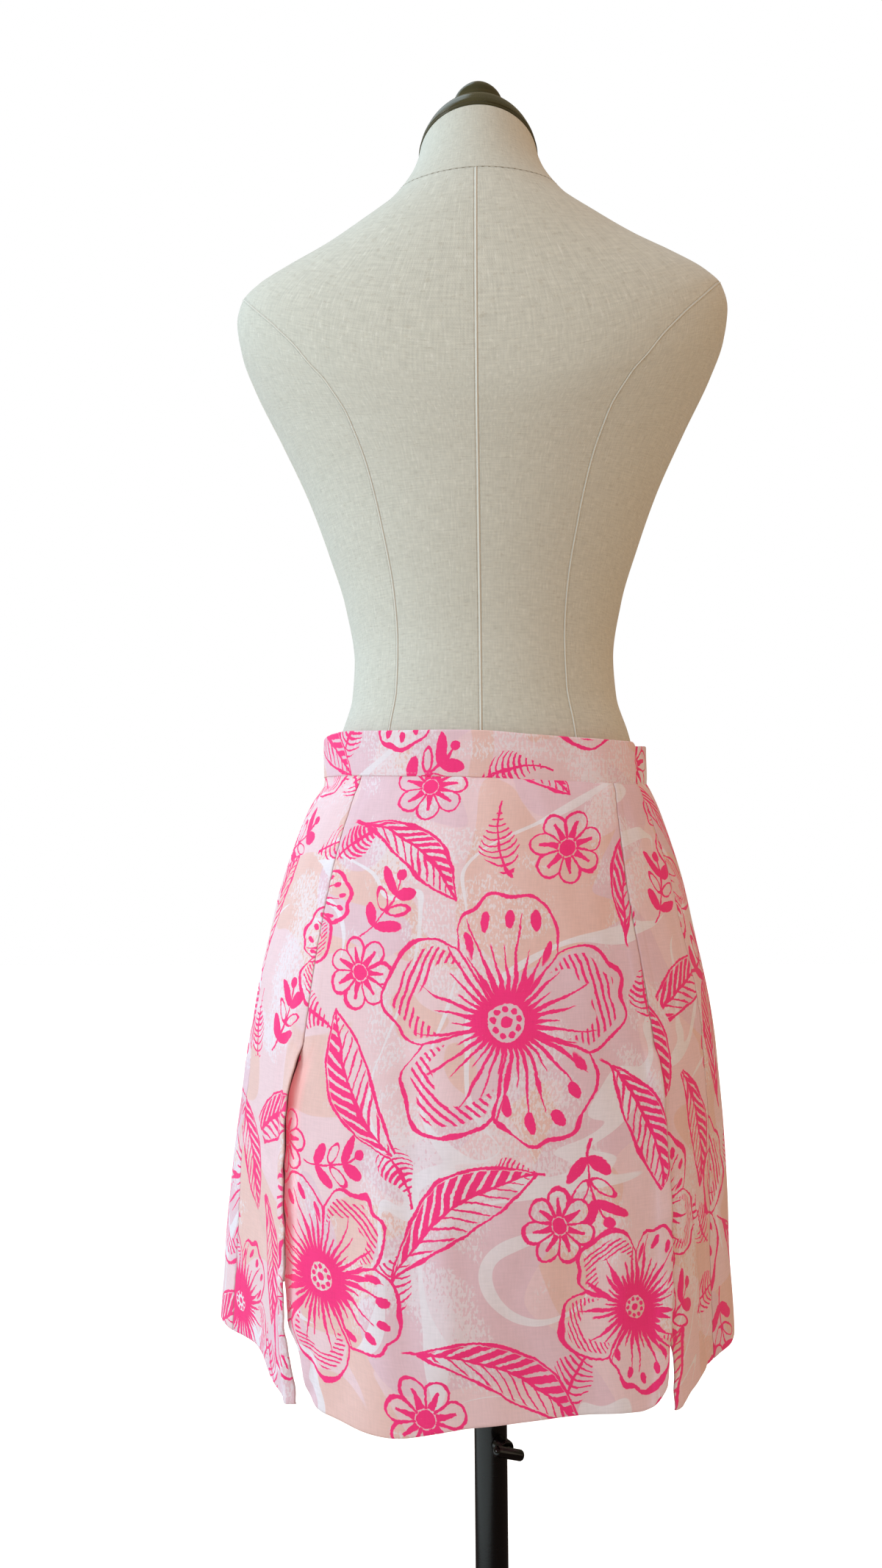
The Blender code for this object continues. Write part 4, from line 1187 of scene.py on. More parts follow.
def band_stitch_paths():
    """The row above the band's lower edge, and the row down its lapping end."""
    end = BAND_LAP_END + 360.0 - 1.2
    angle = np.arange(BAND_UNDER_END + 14.0, end, 0.5)
    row = band_outside(angle, -0.00022)
    row[:, 2] = band_bottom(angle) + BAND_STITCH_RISE
    angle = np.full(12, end)
    column = band_outside(angle, -0.00008)
    column[:, 2] = np.linspace(band_bottom(end) + BAND_STITCH_RISE, band_top(end) - BAND_STITCH_RISE, 12)
    return [row, column]


def shorts_stitch_paths():
    """The row round each leg, at the top of its turned hem."""
    rows = []
    along = np.linspace(-0.995, 0.995, 160)
    outward = leg_outward(along)
    for side, turn in (("left", -1.0), ("right", 1.0)):
        out = outward * np.array([turn, 1.0, 1.0]) * 0.0007
        rows.append(leg_point(side, np.full(160, SHORTS_HEM + HEM_TURN), along) + out)
    return rows


def form_seam_paths():
    """The form's seams: centre back and front, princess seams, and sides, from the neck seam down."""
    below = np.linspace(0.0, 1.0, 170)
    paths = []
    for angle in (0.0, 180.0, 90.0, -90.0):
        top = neck_seam_height(angle) if abs(angle) != 90.0 else 1.36
        heights = top + (FORM_BOTTOM + 0.0015 - top) * below
        paths.append(form_surface(np.full(170, angle), heights))
    heights = FORM_BOTTOM + 0.0015 + (PRINCESS_TOP - FORM_BOTTOM) * below
    away = PRINCESS_LINE.at(heights).angle
    for angle in (away, -away, 180.0 - away, away - 180.0):
        paths.append(form_surface(angle, heights))
    return paths


def sew_lines(finishes):
    """The stitches that show on the skort, and the form's stitched neck seam and raised seams."""
    stitches, cords = stitch_tree(), cord_tree()
    sew("band_topstitch", band_stitch_paths(), stitches, finishes["pink_thread"], "printed_cloth",
        pitch=BAND_STITCH_PITCH, length=BAND_STITCH_PITCH * 0.80, thickness=THREAD)
    sew("shorts_hem_stitches", shorts_stitch_paths(), stitches, finishes["pink_thread"], "shorts_cloth",
        pitch=SHORTS_STITCH_PITCH, length=SHORTS_STITCH_PITCH * 0.80, thickness=THREAD)
    angle = np.arange(0.0, 360.0, 2.0)
    ring = form_surface(angle, neck_seam_height(angle), -0.0001)
    sew("neck_seam_stitches", [ring], stitches, finishes["dark_thread"], "linen", closed=True,
        pitch=NECK_STITCH_PITCH, length=NECK_STITCH_PITCH * 0.55, thickness=THREAD * 1.6)
    sew("raised_form_seams", form_seam_paths(), cords, finishes["linen_thread"], "linen", thickness=FORM_CORD)


# The finishes' node trees

TAU = 2.0 * math.pi


class Wire:
    """A number, place or colour that changes over a surface: the output of a shader node."""

    def __init__(self, tree, socket):
        self.tree, self.socket = tree, socket

    def __add__(self, other):
        return calculate("ADD", self, other)

    def __radd__(self, other):
        return calculate("ADD", other, self)

    def __sub__(self, other):
        return calculate("SUBTRACT", self, other)

    def __rsub__(self, other):
        return calculate("SUBTRACT", other, self)

    def __mul__(self, other):
        return calculate("MULTIPLY", self, other)

    def __rmul__(self, other):
        return calculate("MULTIPLY", other, self)

    def __truediv__(self, other):
        return calculate("DIVIDE", self, other)


def feed(tree, socket, value):
    """Joins a wire to a node's input, or sets the input's own value."""
    if isinstance(value, Wire):
        tree.links.new(value.socket, socket)
    elif value is not None:
        socket.default_value = value


def new_node(tree, kind, *values, **settings):
    """A node with these settings and with values or wires at its first inputs."""
    node = tree.nodes.new(kind)
    for key, value in settings.items():
        setattr(node, key, value)
    for socket, value in zip(node.inputs, values):
        feed(tree, socket, value)
    return node


def tree_of(values):
    return next(value.tree for value in values if isinstance(value, Wire))


def calculate(operation, *values):
    """A number worked out from others."""
    tree = tree_of(values)
    return Wire(tree, new_node(tree, "ShaderNodeMath", *values, operation=operation).outputs[0])


def place_math(operation, *values, result="Vector"):
    """A place worked out from others."""
    tree = tree_of(values)
    return Wire(tree, new_node(tree, "ShaderNodeVectorMath", *values, operation=operation).outputs[result])


def size_of(place):
    return place_math("LENGTH", place, result="Value")


def parts_of(place):
    node = new_node(place.tree, "ShaderNodeSeparateXYZ", place)
    return Wire(place.tree, node.outputs[0]), Wire(place.tree, node.outputs[1])


def place_at(x, y):
    tree = tree_of((x, y))
    return Wire(tree, new_node(tree, "ShaderNodeCombineXYZ", x, y).outputs[0])


def absolute(value):
    return calculate("ABSOLUTE", value)


def larger(*values):
    found = values[0]
    for value in values[1:]:
        found = calculate("MAXIMUM", found, value)
    return found


def smaller(*values):
    found = values[0]
    for value in values[1:]:
        found = calculate("MINIMUM", found, value)
    return found


def rising(value, start, end, low=0.0, high=1.0):
    """A soft step from low to high as the value goes from start to end."""
    tree = tree_of((value, start, end))
    node = new_node(tree, "ShaderNodeMapRange", value, start, end, low, high, interpolation_type="SMOOTHSTEP")
    return Wire(tree, node.outputs[0])


def repeat_distance(value, pitch):
    """Distance to the nearest whole number of pitches."""
    return absolute(calculate("WRAP", value, pitch / 2, -pitch / 2))


def noise(place, scale, detail=2.0, roughness=0.5, distortion=0.0, flat=True):
    """Smooth noise at a place, as a number and as a colour."""
    tree = place.tree
    node = tree.nodes.new("ShaderNodeTexNoise")
    node.noise_dimensions = "2D" if flat else "3D"
    for key, value in (("Vector", place), ("Scale", scale), ("Detail", detail), ("Roughness", roughness)):
        feed(tree, node.inputs[key], value)
    feed(tree, node.inputs["Distortion"], distortion)
    return Wire(tree, node.outputs["Fac"]), Wire(tree, node.outputs["Color"])


MIX_SOCKETS = {"FLOAT": (2, 3, 0), "VECTOR": (4, 5, 1), "RGBA": (6, 7, 2)}


def blend(kind, share, first, second, **settings):
    """Two values of one kind, mixed by a share of the second."""
    tree = tree_of((share, first, second))
    first_input, second_input, output = MIX_SOCKETS[kind]
    node = new_node(tree, "ShaderNodeMix", data_type=kind, **settings)
    for index, value in ((0, share), (first_input, first), (second_input, second)):
        feed(tree, node.inputs[index], value)
    return Wire(tree, node.outputs[output])


def blend_number(share, first, second):
    return blend("FLOAT", share, first, second)


def blend_place(share, first, second):
    return blend("VECTOR", share, first, second)


def blend_colour(share, first, second, way="MIX"):
    return blend("RGBA", share, first, second, blend_type=way)


def toned(colour, tone):
    """A colour made lighter or darker by a number."""
    grey = tone.tree.nodes.new("ShaderNodeCombineColor")
    for socket in grey.inputs:
        feed(tone.tree, socket, tone)
    return blend_colour(1.0, colour, Wire(tone.tree, grey.outputs[0]), "MULTIPLY")


def lies_towards(place, direction, start, end):
    """A soft step from 0 to 1 as a place lies further in a direction."""
    return rising(place_math("DOT_PRODUCT", place, direction, result="Value"), start, end)


SOCKETS = {"number": "NodeSocketFloat", "place": "NodeSocketVector", "colour": "NodeSocketColor"}


def new_group(name, inputs, outputs):
    """A shader node group. Its inputs are (name, kind, value) and its outputs (name, kind).

    It gives back the tree, the wires of its inputs, and its output node.
    """
    tree = bpy.data.node_groups.new(name, "ShaderNodeTree")
    for key, kind, value in inputs:
        socket = tree.interface.new_socket(name=key, in_out="INPUT", socket_type=SOCKETS[kind])
        if value is not None:
            socket.default_value = value
    for key, kind in outputs:
        tree.interface.new_socket(name=key, in_out="OUTPUT", socket_type=SOCKETS[kind])
    source = tree.nodes.new("NodeGroupInput")
    sink = tree.nodes.new("NodeGroupOutput")
    return tree, {key: Wire(tree, source.outputs[key]) for key, kind, value in inputs}, sink


def use_group(tree, group, **values):
    """A group placed in a tree, with its inputs set by name, an underscore standing for a space."""
    node = tree.nodes.new("ShaderNodeGroup")
    node.node_tree = group
    for key, value in values.items():
        feed(tree, node.inputs[key.replace("_", " ")], value)
    return {output.name: Wire(tree, output) for output in node.outputs}


# The print: drawn flowers, leaves and sprigs, in one repeat
#
# Each drawing takes a place in its motif, how far that is from its middle, the motif's size in metres,
# and that size with the swell of a drawn line. It gives back its ink and what it covers.

REPEAT_WIDTH = 0.370
REPEAT_HEIGHT = 0.430
LINE_WEIGHT = 0.00105
HATCH_WEIGHT = 0.00080
INK_EDGE = 0.00018
Stamp = namedtuple("Stamp", "x y turn size")

BLOOMS = (
    Stamp(0.052, -0.160, 15, 0.094),
    Stamp(-0.082, -0.338, 50, 0.072),
    Stamp(0.146, -0.352, -20, 0.058),
    Stamp(-0.112, -0.078, 80, 0.050),
)
LEAVES = (
    Stamp(-0.052, -0.210, 120, 0.058),
    Stamp(0.022, -0.288, 35, 0.062),
    Stamp(0.158, -0.232, -62, 0.050),
    Stamp(-0.160, -0.205, 22, 0.054),
    Stamp(0.048, -0.392, -25, 0.056),
    Stamp(-0.016, -0.040, -38, 0.048),
    Stamp(0.152, -0.050, 72, 0.050),
    Stamp(-0.160, -0.300, -75, 0.046),
)
DAISIES = (
    Stamp(-0.054, -0.128, 0, 0.026),
    Stamp(0.096, -0.036, 20, 0.028),
    Stamp(-0.008, -0.418, 10, 0.027),
    Stamp(0.092, -0.296, 35, 0.025),
    Stamp(-0.118, -0.252, 5, 0.024),
)
FERNS = (
    Stamp(0.046, -0.030, 100, 0.030),
    Stamp(-0.060, -0.030, 30, 0.026),
    Stamp(-0.100, -0.160, -15, 0.030),
    Stamp(-0.020, -0.330, 75, 0.028),
    Stamp(0.098, -0.392, 50, 0.028),
    Stamp(-0.158, -0.368, 120, 0.028),
    Stamp(0.160, -0.140, 95, 0.028),
    Stamp(-0.140, -0.425, 10, 0.028),
    Stamp(0.062, -0.262, 10, 0.022),
    Stamp(-0.018, -0.262, -60, 0.024),
)
SPRIGS = (
    Stamp(-0.036, -0.082, 55, 0.030),
    Stamp(0.118, -0.268, -80, 0.032),
    Stamp(-0.070, -0.262, 10, 0.028),
    Stamp(0.164, -0.424, 30, 0.030),
    Stamp(-0.164, -0.130, 70, 0.030),
)


def nearest_stamp(place, stamps):
    """A place inside the nearest stamp of a motif, in its own size, its distance, and that size in metres."""
    found = None
    for stamp in stamps:
        grow = 1.0 / stamp.size
        half = (REPEAT_WIDTH / 2 * grow, REPEAT_HEIGHT / 2 * grow, 1.0)
        away = place_math("MULTIPLY_ADD", place, (grow, grow, 0.0), (-stamp.x * grow, -stamp.y * grow, 0.0))
        away = place_math("WRAP", away, half, tuple(-side for side in half))
        reach = size_of(away)
        facts = (math.radians(-stamp.turn), stamp.size, 0.0)
        if found is None:
            found = away, reach, facts
            continue
        closer = calculate("LESS_THAN", reach, found[1])
        found = (
            blend_place(closer, found[0], away),
            smaller(reach, found[1]),
            blend_place(closer, found[2], facts),
        )
    away, reach, facts = found
    turn, size = parts_of(facts)
    turned = new_node(place.tree, "ShaderNodeVectorRotate", away, rotation_type="Z_AXIS")
    feed(place.tree, turned.inputs["Angle"], turn)
    return Wire(place.tree, turned.outputs[0]), reach, size


def ink_line(distance, size, weight):
    """Ink within a line's weight of zero distance. The distance is in the motif's size."""
    return rising(absolute(distance * size) - weight, INK_EDGE, -INK_EDGE)


def ink_inside(distance, size):
    return rising(distance * size, INK_EDGE, -INK_EDGE)


def draw_bloom(place, reach, size, bold):
    """A broad flower of five petals, each with rays from its base, a ruffled edge and marks along it."""
    x, y = parts_of(place)
    sector = TAU / 5
    turn = calculate("ARCTAN2", y, x)
    petal = calculate("FLOOR", turn / sector + 0.5)
    local = turn - petal * sector
    side = local / (sector / 2)
    ruffle = calculate("SINE", turn * 15.0 + calculate("SINE", turn * 4.0) * 1.6) * 0.024
    edge = 0.95 - calculate("POWER", absolute(side), 2.4) * 0.30 + ruffle
    cover = ink_inside(reach - edge, size)
    outline = ink_line((reach - edge) * 0.86, bold, LINE_WEIGHT * 1.15)
    divide = ink_line((sector / 2 - absolute(local)) * reach, bold, LINE_WEIGHT * 0.9)
    odd = calculate("WRAP", petal, 2.0, 0.0)

    bent = side + calculate("SINE", reach * 4.2 + petal * 1.9) * 0.12
    ray = calculate("FLOOR", bent * 3.6 + 0.5)
    ray_away = (bent - ray / 3.6) * (sector / 2) * reach
    ray_end = 0.56 + calculate("SINE", ray * 2.1 + petal * 3.7) * 0.17 + odd * 0.10
    taper = rising(reach, 0.10, ray_end + 0.04, 2.6, 0.45)
    rays = rising(absolute(ray_away * bold) - taper * HATCH_WEIGHT, INK_EDGE, -INK_EDGE)
    rays = rays * rising(reach, ray_end, ray_end - 0.03)

    mark_place = place_at(repeat_distance(side, 0.40) * (sector / 2) * reach, (reach - edge + 0.16) * 0.55)
    spots = ink_inside(size_of(mark_place) - 0.040, size) * rising(absolute(side), 0.92, 0.86) * odd
    ladder = rising(repeat_distance(reach - side * side * 0.10, 0.052), 0.0125, 0.0095)
    ladder = ladder * rising(absolute(reach - edge + 0.17), 0.090, 0.080) * rising(absolute(side), 0.90, 0.84)
    petals = larger(rays, spots, ladder * (1.0 - odd)) * cover

    ring = ink_line(reach - 0.15, bold, LINE_WEIGHT * 1.2)
    seeds = size_of(place_at(repeat_distance(turn, TAU / 9) * reach, reach - 0.095)) - 0.024
    seeds = ink_inside(smaller(seeds, reach - 0.040), size)
    outside = rising(reach, 0.145, 0.150)
    return larger(larger(petals, divide * cover) * outside, outline, ring, seeds), cover


def draw_leaf(place, reach, size, bold):
    """A bent leaf with a midrib. One half has fine veins, and the other is solid with light ones."""
    x, y = parts_of(place)
    bent = y + x * x * 0.24 - 0.08
    away = absolute(bent) - (1.0 - x * x) * (0.30 + x * 0.07)
    in_length = rising(absolute(x), 1.03, 1.01)
    cover = ink_inside(away, size) * in_length
    outline = ink_line(away * 0.93, bold, LINE_WEIGHT)
    midrib = ink_line(bent, bold, LINE_WEIGHT * 1.1) * rising(x, -1.18, -1.14)
    slant = repeat_distance(x - absolute(bent) * 1.25 + calculate("SINE", x * 7.0) * 0.02, 0.168)
    fine = ink_line(slant * 0.65, bold, HATCH_WEIGHT) * rising(away, -0.02, -0.035)
    solid = rising(slant * 0.65 * size, HATCH_WEIGHT, HATCH_WEIGHT + INK_EDGE * 2)
    solid = solid * rising(away, -0.020, -0.035)
    veins = blend_number(calculate("GREATER_THAN", bent, 0.0), fine, solid)
    return larger(outline * in_length, midrib * rising(x, 1.02, 1.0), veins * cover), cover


def draw_daisy(place, reach, size, bold):
    """A small flower of seven rounded petals, each with a stroke inside, round a solid heart."""
    x, y = parts_of(place)
    sector = TAU / 7
    turn = calculate("ARCTAN2", y, x)
    local = calculate("WRAP", turn, sector / 2, -sector / 2)
    out = calculate("COSINE", local) * reach
    across = absolute(calculate("SINE", local) * reach)
    lean = math.asin(0.30 / 0.69)
    cone = across * math.cos(lean) - out * math.sin(lean)
    tip = size_of(place_at(out - 0.69, across)) - 0.30
    away = blend_number(calculate("GREATER_THAN", out, 0.56), cone, tip)
    cover = ink_inside(smaller(away, reach - 0.25), size)
    outline = ink_line(away, bold, LINE_WEIGHT * 0.9)
    stroke = ink_inside(across - (1.02 - out) * 0.13, size) * rising(absolute(out - 0.50), 0.26, 0.24)
    drawn = larger(outline, stroke) * rising(reach, 0.22, 0.24)
    return larger(drawn, ink_inside(reach - 0.22, size)), cover


def draw_fern(place, reach, size, bold):
    """A small fern: close, curved strokes on both sides of a stem, shorter towards its tip."""
    x, y = parts_of(place)
    bent = y + x * x * 0.22 - 0.07
    up = absolute(bent)
    lean = x - up * up * 1.5 + up * 0.15
    away = up - rising(lean, -1.0, -0.55) * rising(lean, 1.05, -0.5) * 0.50
    in_length = rising(absolute(lean), 1.0, 0.98)
    stem = ink_line(bent, bold, HATCH_WEIGHT * 1.2) * rising(absolute(x), 1.0, 0.98)
    strokes = ink_line(repeat_distance(lean, 0.168), bold, HATCH_WEIGHT) * rising(away, 0.01, -0.01)
    return larger(stem, strokes * in_length), rising(away, 0.08, 0.06) * in_length


def draw_sprig(place, reach, size, bold):
    """A curved stem with pairs of small leaves, every other pair solid, and a berry at its tip."""
    x, y = parts_of(place)
    bent = y - x * x * 0.26 + 0.08
    up = absolute(bent)
    lean = x - up * 0.60
    pair = calculate("FLOOR", lean / 0.46 + 0.5)
    local = place_at((lean - pair * 0.46) / 0.15, (up - 0.26) / 0.23)
    away = (size_of(local) - 1.0) * 0.15
    odd = calculate("WRAP", pair, 2.0, 0.0)
    leaves = larger(ink_line(away, bold, HATCH_WEIGHT), ink_inside(away, size) * odd)
    leaves = leaves * rising(absolute(pair), 1.6, 1.4)
    stem = ink_line(bent, bold, HATCH_WEIGHT * 1.1) * rising(absolute(x), 0.92, 0.90)
    berry = size_of(place_math("SUBTRACT", place, (0.92, 0.14, 0.0))) - 0.13
    return larger(leaves, stem, ink_inside(berry, size)), ink_inside(smaller(away, berry), size)


def ink_group():
    """The print's ink as a mask, from a place on the cloth in metres. Its lines swell and waver."""
    tree, given, sink = new_group("drawn_flower_print", [("Place", "place", None)], [("Ink", "number")])
    sway = place_math("SUBTRACT", noise(given["Place"], 45.0, 1.0)[1], (0.5, 0.5, 0.5))
    shake = noise(given["Place"], 420.0, 1.0)[1]
    place = place_math("MULTIPLY_ADD", sway, (0.0040, 0.0040, 0.0), given["Place"])
    place = place_math("MULTIPLY_ADD", shake, (0.0012, 0.0012, 0.0), place)
    swell = 1.0 - Wire(tree, new_node(tree, "ShaderNodeSeparateXYZ", sway).outputs[2]) * 1.9
    ink, free = None, None
    motifs = (
        (BLOOMS, draw_bloom),
        (LEAVES, draw_leaf),
        (DAISIES, draw_daisy),
        (SPRIGS, draw_sprig),
        (FERNS, draw_fern),
    )
    for stamps, draw in motifs:
        local, reach, size = nearest_stamp(place, stamps)
        drawn, cover = draw(local, reach, size, size * swell)
        ink = drawn if ink is None else larger(ink, drawn * free)
        free = 1.0 - cover if free is None else free * (1.0 - cover)
    feed(tree, sink.inputs["Ink"], ink)
    return tree


def ground_group():
    """The print's pale ground: crisp patches, pale brushed strokes and a speckle of short dry marks."""
    inputs = [
        ("Place", "place", None),
        ("Base", "colour", (0.860, 0.610, 0.615, 1.0)),
        ("Peach", "colour", (0.835, 0.545, 0.480, 1.0)),
        ("Lilac", "colour", (0.810, 0.560, 0.600, 1.0)),
        ("Chalk", "colour", (0.860, 0.800, 0.815, 1.0)),
    ]
    tree, given, sink = new_group("brushed_ground", inputs, [("Color", "colour")])
    place = given["Place"]
    broad = noise(place, 9.0, 1.0, 0.45, 0.7)[0]
    other = noise(place_math("ADD", place, (3.1, 7.7, 0.0)), 7.0, 1.0, 0.45, 0.8)[0]
    colour = blend_colour(rising(broad, 0.520, 0.526), given["Base"], given["Peach"])
    colour = blend_colour(rising(other, 0.550, 0.556), colour, given["Lilac"])
    curl = noise(place_math("ADD", place, (9.2, 1.3, 0.0)), 6.0, 1.0, 0.5, 1.5)[0]
    width = (other - 0.42) * 0.19
    swirl = rising(absolute(curl - 0.5) - width, 0.004, 0.0)
    marks = noise(place_math("MULTIPLY", place, (1.0, 0.5, 0.0)), 560.0, 1.0, 0.6)[0]
    brushed = noise(place_math("ADD", place, (5.5, 2.2, 0.0)), 11.0, 2.0, 0.55, 0.5)[0]
    speckle = rising(marks + (brushed - 0.52) * 1.3, 0.580, 0.640) * rising(brushed, 0.50, 0.56)
    chalky = larger(swirl * 0.85, speckle * 0.60)
    feed(tree, sink.inputs["Color"], blend_colour(chalky, colour, given["Chalk"]))
    return tree


def weave_group():
    """A plain weave with slubs, from a place in metres: its height, and its tone."""
    inputs = [("Place", "place", None), ("Pitch", "number", 0.0005), ("Slub", "number", 0.4)]
    tree, given, sink = new_group("plain_weave", inputs, [("Height", "number"), ("Tone", "number")])
    place = given["Place"]
    wander = place_math("SUBTRACT", noise(place, 160.0, 1.0)[1], (0.5, 0.5, 0.5))
    x, y = parts_of(place_math("ADD", place, place_math("MULTIPLY", wander, (0.0005, 0.0005, 0.0))))
    across, down = x / given["Pitch"] * math.pi, y / given["Pitch"] * math.pi
    over = calculate("SINE", across) * calculate("SINE", down)
    threads = absolute(calculate("SINE", across)) * 0.5 + absolute(calculate("SINE", down)) * 0.5
    height = threads + over * 0.25
    long_across = noise(place_math("MULTIPLY", place, (0.10, 1.0, 0.0)), 900.0, 1.0)[0]
    long_down = noise(place_math("MULTIPLY", place, (1.0, 0.10, 0.0)), 900.0, 1.0)[0]
    slub = (long_across + long_down - 1.0) * given["Slub"]
    feed(tree, sink.inputs["Height"], height + slub)
    feed(tree, sink.inputs["Tone"], slub * 0.30 + over * 0.03)
    return tree


def seam_group():
    """A narrow raised seam where a signed distance is zero: a mask for its colour, and its height."""
    inputs = [("Distance", "number", 1.0), ("Width", "number", 0.0008)]
    tree, given, sink = new_group("seam_line", inputs, [("Line", "number"), ("Height", "number")])
    away = absolute(given["Distance"])
    feed(tree, sink.inputs["Line"], rising(away, given["Width"] * 1.15, given["Width"] * 0.75))
    ridge = rising(away, given["Width"], 0.0)
    groove = rising(absolute(away - given["Width"] * 1.6), given["Width"], 0.0)
    feed(tree, sink.inputs["Height"], ridge - groove * 0.7)
    return tree


def new_material(name):
    """A material with its node tree and its surface shader."""
    material = bpy.data.materials.new(name)
    material.use_nodes = True
    return material, material.node_tree, material.node_tree.nodes["Principled BSDF"]


def cloth_place(tree):
    """A place on the cloth, in metres along it."""
    node = tree.nodes.new("ShaderNodeUVMap")
    node.uv_map = "cloth"
    return Wire(tree, node.outputs[0])


def object_place(tree):
    """A place in the object's own axes."""
    return Wire(tree, tree.nodes.new("ShaderNodeTexCoord").outputs["Object"])


def attribute(tree, name):
    """A number that the mesh holds at each point."""
    node = tree.nodes.new("ShaderNodeAttribute")
    node.attribute_name = name
    return Wire(tree, node.outputs["Fac"])


def set_bump(tree, shader, height, distance):
    """Fine relief of a surface: its height, and how many metres one unit of it stands for."""
    bump = tree.nodes.new("ShaderNodeBump")
    bump.inputs["Distance"].default_value = distance
    feed(tree, bump.inputs["Height"], height)
    tree.links.new(bump.outputs["Normal"], shader.inputs["Normal"])


INK_COLOUR = (1.000, 0.034, 0.215, 1.0)
UNPRINTED = (0.940, 0.740, 0.745, 1.0)
# Dark line at panel edges: partly the print wrapped round the fold, partly painted shade of the turned edge
PRINT_WRAP_AND_EDGE_SHADE = (0.420, 0.200, 0.190, 1.0)
# Colour of the painted glow in the left slit's shade
SLIT_GLOW = (0.240, 0.040, 0.062, 1.0)


def printed_cotton(name, groups, show):
    """The printed cloth. Show is how strongly its print shows: 1 on its right side, less on the reverse."""
    material, tree, shader = new_material(name)
    place = cloth_place(tree)
    ink = use_group(tree, groups["ink"], Place=place)["Ink"]
    ground = use_group(tree, groups["ground"], Place=place)["Color"]
    weave = use_group(tree, groups["weave"], Place=place, Pitch=0.00042, Slub=0.35)
    patchy = noise(place, 900.0, 2.0)[0]
    ink = ink * rising(patchy + weave["Height"] * 0.10, 0.22, 0.36, 0.80, 1.0) * show
    if show < 1.0:
        ground = blend_colour(1.0 - show, ground, UNPRINTED)
    colour = blend_colour(ink, ground, INK_COLOUR)
    colour = toned(colour, weave["Tone"] + 1.0)
    from_edge = attribute(tree, "from_edge")
    # A dark line within a millimetre of every panel edge: partly the print turning round the fold, partly
    # painted shade of the turned edge
    pressed = rising(from_edge, 1.0011, 1.0004) * rising(from_edge, 0.50, 0.90)
    colour = blend_colour(pressed * 0.55, colour, PRINT_WRAP_AND_EDGE_SHADE)
    feed(tree, shader.inputs["Base Color"], colour)
    # Painted light: an emission glow that stands in for light coming through the thin cloth into the left
    # slit's shade
    glow = blend_colour(attribute(tree, "slit_glow"), (0.0, 0.0, 0.0, 1.0), SLIT_GLOW)
    feed(tree, shader.inputs["Emission Color"], glow)
    shader.inputs["Emission Strength"].default_value = 1.0
    feed(tree, shader.inputs["Roughness"], 0.82 - ink * 0.10)
    shader.inputs["Specular IOR Level"].default_value = 0.30
    shader.inputs["Sheen Weight"].default_value = 0.12
    shader.inputs["Sheen Roughness"].default_value = 0.45
    set_bump(tree, shader, weave["Height"] + ink * 0.20, 0.00003)
    return material


def plain_cotton(name, groups, colour):
    """Plain woven cotton, a little uneven in tone."""
    material, tree, shader = new_material(name)
    place = cloth_place(tree)
    weave = use_group(tree, groups["weave"], Place=place, Pitch=0.00042, Slub=0.35)
    cloudy = noise(place, 14.0, 2.0)[0] * 0.08 + 0.96
    feed(tree, shader.inputs["Base Color"], toned((*colour, 1.0), (weave["Tone"] + 1.0) * cloudy))
    shader.inputs["Roughness"].default_value = 0.85
    shader.inputs["Specular IOR Level"].default_value = 0.30
    shader.inputs["Sheen Weight"].default_value = 0.15
    set_bump(tree, shader, weave["Height"], 0.00003)
    return material


def form_linen(groups):
    """Natural linen with uneven threads and light flecks, and the form's seams as narrow raised lines."""
    material, tree, shader = new_material("form_linen")
    place = cloth_place(tree)
    weave = use_group(tree, groups["weave"], Place=place, Pitch=0.00075, Slub=0.75)
    dark = noise(place_math("MULTIPLY", place, (0.35, 1.0, 0.0)), 520.0, 2.0, 0.6)[0]
    light = noise(place_math("MULTIPLY", place, (1.0, 0.30, 0.0)), 560.0, 2.0, 0.6)[0]
    cloudy = noise(place, 6.0, 3.0)[0]
    colour = blend_colour(cloudy, (0.600, 0.580, 0.480, 1.0), (0.650, 0.625, 0.525, 1.0))
    colour = blend_colour(rising(dark, 0.60, 0.74) * 0.26, colour, (0.420, 0.360, 0.260, 1.0))
    colour = blend_colour(rising(light, 0.60, 0.74) * 0.28, colour, (0.860, 0.830, 0.730, 1.0))
    colour = toned(colour, weave["Tone"] + 1.0)
    height = weave["Height"]
    above = attribute(tree, "neck_seam")
    below = rising(above, 0.0, -0.0006)
    for name, width in (("middle_seam", 0.00085), ("princess_seam", 0.00075), ("side_seam", 0.00075)):
        seam = use_group(tree, groups["seam"], Distance=attribute(tree, name), Width=width)
        colour = blend_colour(seam["Line"] * below * 0.55, colour, (0.900, 0.870, 0.770, 1.0))
        height = height + seam["Height"] * below * 8.0
    joined = rising(absolute(above), 0.0009, 0.0003)
    colour = blend_colour(joined * 0.35, colour, (0.330, 0.290, 0.200, 1.0))
    height = height - joined * 10.0
    feed(tree, shader.inputs["Base Color"], colour)
    shader.inputs["Roughness"].default_value = 0.92
    shader.inputs["Specular IOR Level"].default_value = 0.25
    shader.inputs["Sheen Weight"].default_value = 0.18
    shader.inputs["Sheen Roughness"].default_value = 0.5
    set_bump(tree, shader, height, 0.00006)
    return material


def olive_lacquer():
    """Glossy dark lacquer over turned wood, with fine rings and a little dust."""
    material, tree, shader = new_material("olive_lacquer")
    place = object_place(tree)
    rings = noise(place_math("MULTIPLY", place, (8.0, 8.0, 260.0)), 1.0, 3.0, 0.6, flat=False)[0]
    cloudy = noise(place, 45.0, 3.0, flat=False)[0]
    colour = blend_colour(cloudy, (0.040, 0.036, 0.015, 1.0), (0.080, 0.070, 0.028, 1.0))
    colour = blend_colour(rising(rings, 0.45, 0.70) * 0.50, colour, (0.115, 0.088, 0.034, 1.0))
    feed(tree, shader.inputs["Base Color"], colour)
    dust = noise(place, 380.0, 3.0, 0.7, flat=False)[0]
    feed(tree, shader.inputs["Roughness"], 0.16 + rising(dust, 0.52, 0.75) * 0.16 + rings * 0.05)
    shader.inputs["Specular IOR Level"].default_value = 0.35
    shader.inputs["Coat Weight"].default_value = 0.25
    shader.inputs["Coat Roughness"].default_value = 0.05
    set_bump(tree, shader, rings * 0.6 + cloudy, 0.00012)
    return material


